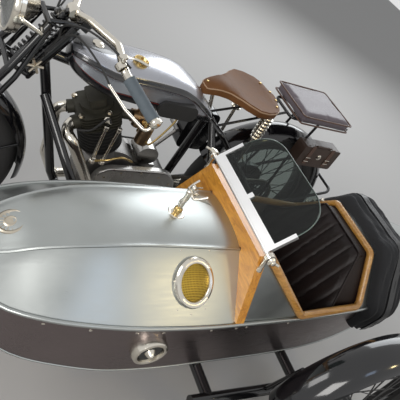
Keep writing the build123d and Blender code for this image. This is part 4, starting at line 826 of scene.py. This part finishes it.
work = skin(bmesh.new(), [tank_row(*station) for station in
                          zip(*(smooth_line(list(column), 5) for column in zip(*tank_stations)))])
fitted("tank_shell", work, tank_paint, "tank_silver", crease=60, replaced=["fuel_tank"])

cap = bmesh.new()
turned(cap, bike(768, 34, 814), (0, 0.22, 1), [(0, 27), (8, 27), (10, 24), (16, 24)], 40)
for k in range(14):
    angle = 2 * pi * k / 14
    turned(cap, bike(768 + 21 * cos(angle), 34 + 21 * sin(angle), 818 + 4 * sin(angle)), (0, 0.22, 1),
           [(0, 4.5), (14, 4.5), (17, 2.5), (17, 0.4)], 8)
turned(cap, bike(768, 34, 828), (0, 0.22, 1), [(0, 19), (4, 18), (8, 12), (9, 5), (15, 4), (17, 0.4)], 32)
fitted("filler_cap", cap, brass, "nickel")
small_cap = bmesh.new()
turned(small_cap, bike(905, 0, 822), (0.1, 0, 1), [(0, 20), (6, 20), (8, 17), (12, 16), (15, 8), (15, 0.4)],
       30)
fitted("oil_cap", small_cap, nickel, "nickel")


# Saddle: one moulded hide, its rim turned down and its middle hollow
def saddle_edge(t):
    """Half width of the saddle at a share of its length from the back, in millimetres."""
    line = [(0, 30), (0.07, 84), (0.16, 112), (0.3, 127), (0.42, 126), (0.52, 104), (0.62, 74), (0.74, 50),
            (0.88, 34), (0.96, 24), (1, 9)]
    for (a, low), (b, high) in zip(line, line[1:]):
        if t <= b:
            share = (t - a) / (b - a)
            share = share * share * (3 - 2 * share) * 0.5 + share * 0.5
            return low + (high - low) * share
    return line[-1][1]


def saddle_point(t, s, drop=0.0, inset=0.0):
    """A point of the hide: along by t, across by s from -1 to 1."""
    half = saddle_edge(t) - inset
    hollow = 15 * (1 - abs(s) ** 2.2) * sin(pi * min(max(t / 0.62, 0), 1)) ** 0.8
    nose = 24 * max((t - 0.72) / 0.28, 0) ** 2
    bow = 10 * (abs(s) ** 3) * (1 - t) * 0.6
    crown = 9 * (1 - s * s) * max(min((t - 0.5) / 0.3, 1), 0)
    return bike(166 + 322 * t, s * half,
                806 - hollow - nose - bow + crown - 6 * (1 - min(t / 0.08, 1)) - drop)


hide_top = bmesh.new()
stations = [k / 40 for k in range(41)]
rows = []
for t in stations:
    top = [saddle_point(t, s / 12) for s in range(-12, 13)]
    skirt = 30 if t < 0.45 else 30 + 4 * (t - 0.45)
    right = [saddle_point(t, 1, drop, -out) for drop, out in ((5, 1.5), (12, 2.5), (20, 2.0), (skirt, 0.0))]
    left = [saddle_point(t, -1, drop, -out) for drop, out in ((skirt, 0.0), (20, 2.0), (12, 2.5), (5, 1.5))]
    under = [saddle_point(t, s / 6, 34 if t < 0.45 else 30) for s in range(5, -6, -1)]
    rows.append(top + right + under + left)
skin(hide_top, rows)
saddle_hide = fitted("saddle_hide", hide_top, saddle_leather, "leather_brown", crease=60, replaced=["saddle"])
rim = bmesh.new()
hose(rim, [saddle_point(t, 1, 6, -2.4) for t in stations[1:-1:2]] + [saddle_point(1.0, 0, 6, 0)]
     + [saddle_point(t, -1, 6, -2.4) for t in stations[-2:0:-2]] + [saddle_point(0, 0, 6, 0)], 2.6, 8, True,
     2)
fitted("saddle_rim", rim, pale_leather, "leather_brown", crease=60)
rivets = bmesh.new()
for t, s in ((0.03, 0.5), (0.03, -0.5), (0.1, 0.8), (0.1, -0.8), (0.97, 0.0)):
    copied(rivets, screw, saddle_point(t, s, -0.8), (0, 0, 1))
fitted("saddle_rivets", rivets, brass, "nickel")


# Padded work: a cushion that a cloth simulation fills, with its seams drawn in afterwards
cloth_frames = 20


def filled(name, mesh, voxel, pressure, cap_mm, material, slot, replaced):
    """Remeshes a shape, swells it with Cloth pressure, caps how far each point goes and applies it."""
    piece = place(name, mesh, "outfit", material, slot, replaced)
    bpy.ops.object.select_all(action="DESELECT")
    piece.select_set(True)
    bpy.context.view_layer.objects.active = piece
    remesh = piece.modifiers.new("remesh", "REMESH")
    remesh.mode = "VOXEL"
    remesh.voxel_size = voxel / 1000
    bpy.ops.object.modifier_apply(modifier="remesh")
    start = [v.co.copy() for v in piece.data.vertices]
    cloth = piece.modifiers.new("cloth", "CLOTH")
    cloth.settings.use_pressure = True
    cloth.settings.uniform_pressure_force = pressure
    cloth.settings.effector_weights.gravity = 0.0
    cloth.settings.tension_stiffness = 20
    cloth.settings.compression_stiffness = 20
    for frame_number in range(1, cloth_frames + 1):
        bpy.context.scene.frame_set(frame_number)
    done = piece.evaluated_get(bpy.context.evaluated_depsgraph_get()).data
    moved = [v.co.copy() for v in done.vertices]
    piece.modifiers.remove(cloth)
    bpy.context.scene.frame_set(1)
    for v, old, new in zip(piece.data.vertices, start, moved):
        step = new - old
        v.co = old + step * min(1.0, cap_mm / 1000 / max(step.length, 1e-9))
    smoother = piece.modifiers.new("ease", "SMOOTH")
    smoother.iterations = 4
    bpy.ops.object.modifier_apply(modifier="ease")
    piece.data.shade_smooth()
    return piece


def block(name, centre, size, ease):
    """A box with eased edges, in millimetres, as a mesh."""
    bpy.ops.object.select_all(action="DESELECT")
    bpy.ops.mesh.primitive_cube_add(size=1, location=centre)
    shape = bpy.context.object
    bpy.ops.object.mode_set(mode="EDIT")
    bpy.ops.transform.resize(value=[s / 1000 for s in size], center_override=centre)
    bpy.ops.mesh.bevel(offset=ease / 1000, segments=3, affect="EDGES")
    bpy.ops.object.mode_set(mode="OBJECT")
    mesh = shape.data.copy()
    mesh.transform(shape.matrix_world)
    bpy.data.objects.remove(shape)
    return mesh


# Pillion pad: a flat cushion with brown welts and side bands
pad_low, pad_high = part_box("pillion_pad")
pad_middle = (pad_low + pad_high) / 2
pad_size = (pad_high - pad_low) * 1000
filled("pillion_cushion", block("pillion_cushion", pad_middle,
                                (pad_size.x - 12, pad_size.y - 12, pad_size.z - 12), 7), 5, 3.0, 7,
       pad_leather, "leather_grey", ["pillion_pad"])
welts = bmesh.new()
for level, inset in ((pad_high.z - 0.009, 3.0), (pad_low.z + 0.007, 3.0)):
    a, b = pad_size.x / 2 - inset, pad_size.y / 2 - inset
    ring = [(a, b - 16), (a - 5, b - 5), (a - 16, b), (0, b + 1), (16 - a, b), (5 - a, b - 5), (-a, b - 16),
            (-a - 1, 0), (-a, 16 - b),
            (5 - a, 5 - b), (16 - a, -b), (0, -b - 1), (a - 16, -b), (a - 5, 5 - b), (a, 16 - b), (a + 1, 0)]
    hose(welts, [Vector((pad_middle.x + x / 1000, pad_middle.y + y / 1000, level)) for x, y in ring], 3.4, 8,
         True, 4)
fitted("pillion_welts", welts, brown_welt, "leather_brown", crease=60)

# Cockpit back: upright pleats under a plain top roll
back_rise = Vector((-133, 0, 270)).normalized()
back_out = -back_rise.cross(Vector((0, 1, 0)))
back_foot, back_shoulder, back_top = 34, 318, 328  # heights up the slope, in millimetres
back_margin = 13  # how far the padding passes the board
pleat_width = 50


def back_half(v):
    """Half width of the back at a height along its slope."""
    return 190 + 18 * v / 150 if v < 150 else 208 - 104 * (v - 150) / 168


def back_point(u, v, depth):
    """A point of the seat back in millimetres: across, up its slope, and out towards the passenger."""
    return car(252, 0, 400) + (Vector((0, 1, 0)) * u + back_rise * v + back_out * depth) / 1000


def back_relief(u, v):
    """How far the pleated front stands out."""
    half = back_half(min(v, back_shoulder)) + back_margin
    edge = min((half - abs(u)) / 26, (back_top - v) / 26, 1.0)
    pleat = abs(sin(pi * (u / pleat_width + 0.5))) ** 0.55
    return -8 + max(edge, 0) ** 0.5 * (1 + 10 * pleat)


back = bmesh.new()
rows = []
for v in [back_foot + (back_top - back_foot) * k / 46 for k in range(47)]:
    half = back_half(min(v, back_shoulder)) + back_margin
    front = [back_point(half * (k / 60), v, back_relief(half * k / 60, v)) for k in range(-60, 61)]
    rows.append(front + [back_point(half * 0.97 * (k / 10), v, -40) for k in range(10, -11, -1)])
skin(back, rows)
pleated_back = fitted("pleated_back", back, seat_leather, "leather_dark", crease=60, replaced=["seat_back"])
piping = bmesh.new()
edge_line = [(-206, 40), (-218, 110), (-222, 146), (-214, 160), (-170, 232), (-124, 306), (-113, 322),
             (-98, 328), (0, 329),
             (98, 328), (113, 322), (124, 306), (170, 232), (214, 160), (222, 146), (218, 110), (206, 40)]
hose(piping, [back_point(u, v, -5) for u, v in edge_line], 3.6, 8, False, 5)
fitted("back_piping", piping, seat_leather, "leather_dark", crease=60)

lining = bmesh.new()
rail_line = [(210, -228, 548), (120, -222, 548), (78, -214, 552), (74, -206, 566), (64, -160, 628),
             (56, -112, 686), (54, -104, 692), (53, -90, 694), (53, 0, 694)]
rail_line += [(x, -y, z) for x, y, z in rail_line[-2::-1]]
skin(lining, [[back_point(u * 0.98, v * 0.99, -12), car(*spot), car(*spot) - Vector((0.003, 0, 0)),
               back_point(u * 0.98, v * 0.99, -15)]
              for (u, v), spot in zip(edge_line, rail_line)])
fitted("cockpit_lining", lining, seat_leather, "leather_dark", crease=60)

low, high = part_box("seat_cushion")
middle = (low + high) / 2
size = (high - low) * 1000
filled("seat_squab", block("seat_squab", middle, (size.x - 16, size.y - 16, size.z - 14), 16), 8, 3.0, 8,
       seat_leather, "leather_dark", ["seat_cushion"])

# Folded hood: gathered cloth over its bows, with a strap round it
hood_folds = 5
hood_centre = Vector((0, 500, 0))
strap_x = -52
gathered = bmesh.new()
hood_rows = []
ring_points = [(244, 436), (257, 500), (257, 560), (196, 650), (134, 736), (66, 742), (0, 743), (-66, 742),
               (-134, 736), (-196, 650), (-257, 560), (-257, 500), (-244, 436)]
outer_line = smooth_line([Vector((y, z, 0)) for y, z in ring_points], 8)
for k in range(33):
    t = k / 32
    x = -124 + 142 * t
    swell = sin(pi * t) ** 0.35
    fold = 0.5 + 0.5 * cos(2 * pi * t * hood_folds)
    row = []
    for n, point in enumerate(outer_line):
        share = n / (len(outer_line) - 1)
        wave = sin(share * 37 + k * 0.9) * 1.6 + sin(share * 83 - k * 1.7) * 0.9
        shrink = (1 - swell) * 26 + 9 * fold * (0.6 + 0.4 * sin(share * 11 + 1)) + wave
        spot = point - (point - hood_centre).normalized() * shrink
        row.append(car(x + 3 * sin(share * 19), spot.x, spot.y))
    hood_rows.append(row + [car(x, y, 470) for y in range(-200, 201, 100)])
skin(gathered, hood_rows)
folded_hood = fitted("folded_hood", gathered, hood_cloth, "hood_cloth", crease=70, replaced=["hood"])
strap = bmesh.new()
band = smooth_line([Vector((y, z, 0)) for y, z in ring_points], 4)
skin(strap, [[car(strap_x - 14, p.x * 1.004, p.y + 1.0), car(strap_x + 14, p.x * 1.004, p.y + 1.0),
              car(strap_x + 14, p.x * 0.99, p.y - 2.0), car(strap_x - 14, p.x * 0.99, p.y - 2.0)]
             for p in band])
fitted("hood_strap", strap, strap_leather, "hood_cloth", crease=60)

# Body mouldings: half-round beads along the chine and the bottom edge
mouldings = bmesh.new()
for side in (1, -1):
    run = [-500 + 1825 * k / 60 for k in range(61)]
    hose(mouldings, [car(x, side * (station_at(x)[2] + 3.5), chine_z + 1) for x in run], 6.0, 10, smooth=0)
    hose(mouldings, [car(x, side * (station_at(x)[3] + 1.0), station_at(x)[4] + 2) for x in run], 3.6, 8,
         smooth=0)
fitted("body_mouldings", mouldings, body_metal, "body_aluminium", crease=60)

# Round vent's throat: a black disc in its opening, painted shade for the dark inside
shade_disc = bmesh.new()
turned(shade_disc, round_vent_at, (0, 1, 0), [(18, 33.5), (21, 33.5), (21, 0.4)], 40)
fitted("vent_shade_disc", shade_disc, black_rubber, "rubber_black")

# Windscreen clamps: an eye round the rod on a short stem, with a wing nut outside
clamps = bmesh.new()
for side in (1, -1):
    eye = car(screen_x, side * 198, screen_z)
    turned(clamps, eye - Vector((0, 0.0075, 0)), (0, 1, 0),
           [(0, 13), (2, 14.5), (13, 14.5), (15, 13), (15, 6.6), (0, 6.6)], 28)
    turned(clamps, car(592, side * 194, 706), Vector((0.06, 0, 1)),
           [(0, 9), (6, 9), (12, 6.5), (38, 6.5), (46, 9), (50, 9)], 16)
    turned(clamps, car(screen_x - 1, side * 206.5, screen_z), (0, side, 0),
           [(0, 11), (5, 11), (8, 8), (14, 7), (16, 4), (16, 0.4)], 20)
    for way in (1, -1):
        hose(clamps, [car(screen_x, side * 214, screen_z),
                      car(screen_x + way * 10, side * 216, screen_z + way * 3),
                      car(screen_x + way * 21, side * 221, screen_z + way * 5)], 4.0, 8)
    copied(clamps, small_bolt, car(592, side * 194, 757), (0, side, 0))
fitted("screen_clamps", clamps, nickel, "nickel", replaced=["windscreen_clamps"])
glass_line = [(-177, 20), (-177, 100), (-170, 138), (-148, 170), (-110, 187), (-70, 190), (0, 190), (70, 190),
              (110, 187), (148, 170), (170, 138), (177, 100), (177, 20)]
glass_lean = radians(47)
lean = Vector((-cos(glass_lean), 0, sin(glass_lean)))
glass_edge = bmesh.new()
hose(glass_edge, [car(screen_x, u, screen_z) + lean * (v / 1000) for u, v in glass_line], 2.0, 8, False, 4)
fitted("glass_edge", glass_edge, edge_glass, "glass", body="windscreen", crease=60)

# Engine: rocker box bolts, valve gear, pipes, plug and its lead
engine = bmesh.new()
head_low, head_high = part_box("cylinder_head")
head_mid = (head_low + head_high) / 2
for a, b in ((0.38, 0.36), (-0.38, 0.36), (0.38, -0.36), (-0.38, -0.36), (0.0, 0.42), (0.0, -0.42)):
    spot = Vector((head_mid.x + a * (head_high.x - head_low.x), head_mid.y + b * (head_high.y - head_low.y),
                   head_high.z + 0.1))
    found = surface_of("cylinder_head", spot, (0, 0, -1))
    if found:
        copied(engine, washer, found[0], (0, 0, 1))
        copied(engine, big_bolt, found[0] + Vector((0, 0, 0.004)), (0, 0, 1))
case_low, case_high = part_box("primary_case")
for k in range(12):
    t = 2 * pi * k / 12
    spot = Vector(((case_low.x + case_high.x) / 2 + 0.46 * (case_high.x - case_low.x) * cos(t),
                   case_high.y + 0.05,
                   (case_low.z + case_high.z) / 2 + 0.42 * (case_high.z - case_low.z) * sin(t)))
    found = surface_of("primary_case", spot, (0, -1, 0))
    if found:
        copied(engine, screw, found[0], (0, 1, 0))
crank_low, crank_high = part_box("crankcase")
for a, b in ((0.3, 0.2), (-0.3, 0.2), (0.42, -0.1), (-0.42, -0.1), (0.2, 0.42), (-0.2, 0.42)):
    spot = Vector(((crank_low.x + crank_high.x) / 2 + a * (crank_high.x - crank_low.x), crank_high.y + 0.1,
                   (crank_low.z + crank_high.z) / 2 + b * (crank_high.z - crank_low.z)))
    found = surface_of("crankcase", spot, (0, -1, 0))
    if found:
        copied(engine, small_bolt, found[0], (0, 1, 0))
fitted("engine_bolts", engine, aged_nickel, "nickel")

gear = bmesh.new()
barrel_low, barrel_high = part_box("cylinder")
bx = (barrel_low.x + barrel_high.x) / 2 * 1000 - rear_x
by_side = barrel_high.y * 1000 - bike_y
for dx in (-16, 20):
    hose(gear, [bike(bx + dx, by_side + 9, barrel_low.z * 1000 + 6),
                bike(bx + dx * 1.3, by_side + 9, barrel_high.z * 1000 - 4)], 6.5, 12, smooth=0)
    turned(gear, bike(bx + dx, by_side + 9, barrel_low.z * 1000), (0, 0, 1),
           [(0, 11), (10, 11), (13, 8.5), (22, 8.5), (24, 6)], 16)
    turned(gear, bike(bx + dx * 1.3, by_side + 9, barrel_high.z * 1000 - 16), (0, 0, 1),
           [(0, 8), (4, 10), (16, 10), (18, 8)], 16)
fitted("pushrod_tubes", gear, nickel, "nickel")

plug = bmesh.new()
plug_at = surface_of("cylinder_head", bike(bx + 34, 260, head_mid.z * 1000 + 12), (0, -1, 0))
if plug_at:
    turned(plug, plug_at[0] - Vector((0, 0.004, 0)), (0, 1, 0.35),
           [(0, 9), (4, 11), (12, 11), (14, 8), (20, 7)], 6)
    fitted("plug_body", plug, nickel, "nickel")
    china = bmesh.new()
    top = plug_at[0] + Vector((0, 0.0135, 0.0063))
    turned(china, top, (0, 1, 0.35), [(0, 6.5), (3, 6.8), (14, 5.0), (26, 4.2), (28, 3)], 16)
    fitted("plug_china", china, cream, "nickel", crease=50)
    lead = bmesh.new()
    tip = top + Vector((0, 1, 0.35)).normalized() * 0.027
    magneto_low, magneto_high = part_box("magneto")
    hose(lead, [tip, tip + Vector((0.02, 0.006, 0.02)), tip + Vector((0.05, -0.004, -0.04)),
                bike(bx + 96, 70, magneto_high.z * 1000 + 60),
                Vector(((magneto_low.x + magneto_high.x) / 2, (magneto_low.y + magneto_high.y) / 2,
                        magneto_high.z - 0.004))], 3.4, 8)
    fitted("plug_lead", lead, black_rubber, "rubber_black", crease=60)

carb_low, carb_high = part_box("carburettor")
carb = (carb_low + carb_high) / 2
bell = bmesh.new()
turned(bell, Vector((carb.x - 0.006, carb.y, carb_high.z - 0.006)), (0, 0, 1),
       [(0, 15), (4, 19), (14, 19), (16, 17), (18, 19), (22, 19), (25, 14), (30, 8), (38, 6), (38, 0.4)], 28)
fitted("carburettor_top", bell, cream_metal, "brown_metal")
unions = bmesh.new()
for dz, dy, out in ((-0.012, 0.014, (0, 1, 0)), (0.012, 0.012, (0, 1, 0.2)), (-0.03, 0.0, (-0.4, 1, 0))):
    turned(unions, Vector((carb.x, carb.y + dy, carb.z + dz)), out,
           [(0, 9), (9, 9), (10, 7), (16, 7), (17, 9), (22, 9), (23, 5), (26, 4)], 6)
hose(unions, [Vector((carb.x, carb.y + 0.038, carb.z - 0.012)),
              Vector((carb.x - 0.03, carb.y + 0.05, carb.z - 0.05)),
              Vector((carb.x - 0.06, carb.y + 0.045, carb.z - 0.02)),
              Vector((carb.x - 0.1, carb.y + 0.03, carb.z + 0.05)),
              bike(560, 62, 682)], 3.6, 8)
hose(unions, [bike(bx + 20, by_side + 26, crank_high.z * 1000 - 30),
              bike(bx - 10, by_side + 44, crank_high.z * 1000 - 5),
              bike(bx - 60, by_side + 40, crank_high.z * 1000 + 10),
              bike(bx - 120, by_side + 18, crank_high.z * 1000 - 20)], 4.0, 8)
fitted("brass_unions", unions, brass, "brown_metal")

# Steering: damper knob, lever pivots, bar clamp bolts and control cables
knob_face = steer(735, 34, 72)
knob = bmesh.new()
turned(knob, steer(735, 34, 64), (0, 1, 0), [(0, 9), (8, 9), (10, 6), (16, 6)], 20)
for k in range(6):
    t = 2 * pi * k / 6
    tip = knob_face + Vector((cos(t), 0, sin(t))) * 0.024
    hose(knob, [knob_face, (knob_face + tip) / 2, tip], 4.4, 8, smooth=0)
fitted("damper_knob", knob, aged_nickel, "nickel", body="steering")
controls = bmesh.new()
for side in (1, -1):
    pivot = bike(868, side * 396, 868)
    bend = bike(938, side * 285, 919)
    out = (pivot - bend).normalized()
    turned(controls, pivot + out * 0.006, out, [(0, 17), (3, 18.5), (10, 18.5), (13, 14), (16, 8), (16, 0.4)],
           24)
    clamp = bend - out * 0.02
    turned(controls, clamp - out * 0.009, out, [(0, 15), (2, 16.5), (16, 16.5), (18, 15), (18, 12), (0, 12)],
           24)
    copied(controls, small_bolt, clamp + Vector((0, 0, 0.019)), (0, 0, 1))
    turned(controls, clamp + Vector((0, 0, 0.012)), (0.3, 0, 1),
           [(0, 7), (12, 7), (14, 12), (19, 12), (21, 8)], 18)
    hose(controls, [clamp + Vector((0, 0, 0.03)), clamp + Vector((-0.03, side * 0.01, 0.034)),
                    clamp + Vector((-0.062, side * 0.016, 0.028))], 3.6, 8)
fitted("bar_controls", controls, nickel, "nickel", body="steering")
cables = bmesh.new()
for side in (1, -1):
    hose(cables, [bike(930, side * 285, 936), bike(972, side * 220, 946), bike(1010, side * 120, 925),
                  bike(1040, side * 48, 880),
                  bike(1040, side * 40, 830), bike(1060, side * 36, 780)], 3.2, 8)
    hose(cables, [bike(940, side * 236, 846), bike(968, side * 190, 872), bike(1010, side * 96, 884),
                  bike(1042, side * 58, 850)], 3.0, 8)
fitted("control_cables", cables, black_rubber, "rubber_black", body="steering", crease=60)

# Toolbox straps and buckles
low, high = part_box("toolbox_lid")
straps = bmesh.new()
buckles = bmesh.new()
for dx in (-0.055, 0.055):
    x = (low.x + high.x) / 2 + dx
    line = [(high.y + 0.0015, high.z - 0.004), (high.y + 0.0022, (low.z + high.z) / 2),
            (high.y + 0.0015, low.z + 0.012)]
    skin(straps, [[Vector((x - 0.009, y, z)), Vector((x + 0.009, y, z)), Vector((x + 0.009, y - 0.003, z)),
                   Vector((x - 0.009, y - 0.003, z))]
                  for y, z in line])
    hose(buckles, [Vector((x + a * 0.012, high.y + 0.0035, low.z + 0.036 + b * 0.009))
                   for a, b in ((1, 1), (-1, 1), (-1, -1), (1, -1))], 1.8, 8, True, 0)
fitted("toolbox_straps", straps, brown_welt, "box_brown", body="box_lid")
fitted("toolbox_buckles", buckles, nickel, "nickel", body="box_lid")
catch = bmesh.new()
turned(catch, Vector(((low.x + high.x) / 2, high.y - 0.001, (low.z + high.z) / 2)), (0, 1, 0),
       [(0, 12), (3, 12), (5, 8), (7, 8), (8, 0.4)], 24)
fitted("toolbox_catch", catch, nickel, "nickel", body="box_lid")

# Fork spring: a wound coil in place of the solid's stack
lean_up = Vector((-sin(radians(rake)), 0, cos(radians(rake))))
reach = [v.co.dot(lean_up) for v in nodes["fork_spring"].data.vertices]
low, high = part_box("fork_spring")
coil_middle = (low + high) / 2
coil_foot = coil_middle + lean_up * (min(reach) - coil_middle.dot(lean_up))
coil_long = max(reach) - min(reach)
one, two = across(lean_up)
turns, turn_steps = 11, 14
coil_radius = 0.0205
winding = []
for k in range(turns * turn_steps + 1):
    share = k / (turns * turn_steps)
    angle = 2 * pi * k / turn_steps
    rise = coil_long * (0.02 + 0.96 * (share - 0.012 * sin(2 * pi * share)))
    winding.append(coil_foot + lean_up * rise + one * (coil_radius * cos(angle)) + two
                   * (coil_radius * sin(angle)))
coil = bmesh.new()
hose(coil, winding, 3.6, 10, smooth=0)
for along in (0.0, coil_long - 0.007):
    turned(coil, coil_foot + lean_up * along, lean_up, [(0, 24.5), (7, 24.5)], 32)
turned(coil, coil_foot, lean_up, [(0, 9), (coil_long * 1000, 9)], 16)
fitted("fork_coil", coil, black_enamel, "frame_black", body="steering", crease=60, replaced=["fork_spring"])

# Headlamp: rim, clip and domed lens before a bright reflector
low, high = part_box("headlamp")
lamp_face = Vector((high.x, bike_y / 1000, 0))
face_points = [v.co for v in nodes["headlamp"].data.vertices if v.co.x > high.x - 0.001]
lamp_face.z = (min(p.z for p in face_points) + max(p.z for p in face_points)) / 2
rim = bmesh.new()
turned(rim, lamp_face - Vector((0.014, 0, 0)), (1, 0, 0),
       [(0, 86.5), (2, 89), (12, 89), (17, 86), (19, 80), (16, 77), (14, 77)], 64)
for t in (0.5, 2.6, 4.7):
    copied(rim, screw, lamp_face + Vector((-0.006, 0.089 * cos(t), 0.089 * sin(t))), (0, cos(t), sin(t)))
fitted("lamp_rim", rim, nickel, "nickel", body="steering")
lens = bmesh.new()
turned(lens, lamp_face + Vector((0.0005, 0, 0)), (1, 0, 0), [(0, 79), (2, 74), (5, 55), (7, 30), (8, 0.4)],
       64)
for k in range(-6, 7):
    half = (1 - (k / 7.4) ** 2) ** 0.5 * 70
    bulge = 2 + 6 * (1 - (k / 7) ** 2)
    hose(lens, [lamp_face + Vector((0.0005 + bulge / 1000 * (1 - (z / 72) ** 2), k * 0.0098, z / 1000))
                for z in (-half, -half / 2, 0, half / 2, half)], 1.5, 6, False, 3)
fitted("lamp_lens", lens, lamp_glass, "nickel", body="steering", crease=60)

# Tyre treads: two rows of blocks on each shoulder
bpy.ops.object.select_all(action="DESELECT")
bpy.ops.mesh.primitive_cube_add(size=1)
lug_shape = bpy.context.object
bpy.ops.object.mode_set(mode="EDIT")
bpy.ops.transform.resize(value=(0.0105, 0.0125, 0.005), center_override=(0, 0, 0))
bpy.ops.mesh.bevel(offset=0.0012, segments=1, affect="EDGES")
bpy.ops.object.mode_set(mode="OBJECT")
lug = lug_shape.data.copy()
bpy.data.objects.remove(lug_shape)
lugs_round = 84
valve_angle = 0.9
for wheel, hub in hubs.items():
    tread = bmesh.new()
    for aside, twist in ((10, 0.0), (25, 0.5), (-10, 0.0), (-25, 0.5)):
        radius = wheel_radius - 1.6 - (tyre_half - (tyre_half**2 - aside**2) ** 0.5)
        tip = Vector((0, sin(aside / tyre_half), 0))
        for k in range(lugs_round):
            t = 2 * pi * (k + twist) / lugs_round
            out = Vector((cos(t), 0, sin(t)))
            foot = hub + out * (radius / 1000 - 0.0022) + Vector((0, aside / 1000, 0))
            copied(tread, lug, foot, (out + tip * 0.7).normalized())
    fitted(f"{wheel}_tread", tread, tyre_rubber, "tyre", body=f"{wheel}_wheel_set")
    valve = bmesh.new()
    way = Vector((cos(valve_angle), 0, sin(valve_angle)))
    turned(valve, hub + way * 0.243 + Vector((0, 0.012, 0)), -way,
           [(0, 4), (6, 4), (7, 3), (26, 3), (27, 4), (33, 4), (34, 0.4)], 12)
    fitted(f"{wheel}_valve", valve, brass, "nickel", body=f"{wheel}_wheel_set")

# Press studs on the far coaming rail and screws along the hoop
studs = bmesh.new()
slant = Vector((0, -0.78, 0.63))
for share in (0.28, 0.46, 0.66):
    found = surface_of("coaming", car(73 - 20 * share, -226 + 114 * share, 557 + 141 * share) + slant * 0.1,
                       -slant)
    if found:
        turned(studs, found[0] - slant * 0.001, slant,
               [(0, 8.5), (3, 8.5), (4, 6), (8, 6), (11, 4), (11, 0.4)], 18)
for y, z in ((0, 735), (90, 735), (-90, 735), (205, 640), (-205, 640)):
    found = surface_of("scuttle_hoop", car(480, y, z - 8), (1, 0, 0))
    if found:
        copied(studs, screw, found[0], (-1, 0, 0))
fitted("rail_studs", studs, nickel, "nickel")

# Floor
bpy.ops.object.select_all(action="DESELECT")
bpy.ops.mesh.primitive_plane_add(size=14, location=(0, 0, -0.001))
floor = bpy.context.object
floor.name = "floor"
floor_paint, tree, shader, point = finish("floor_paint", 0.0, 0.0, 0.8)
shader.inputs["Base Color"].default_value = (0.62, 0.60, 0.58, 1)
floor.data.materials.append(floor_paint)
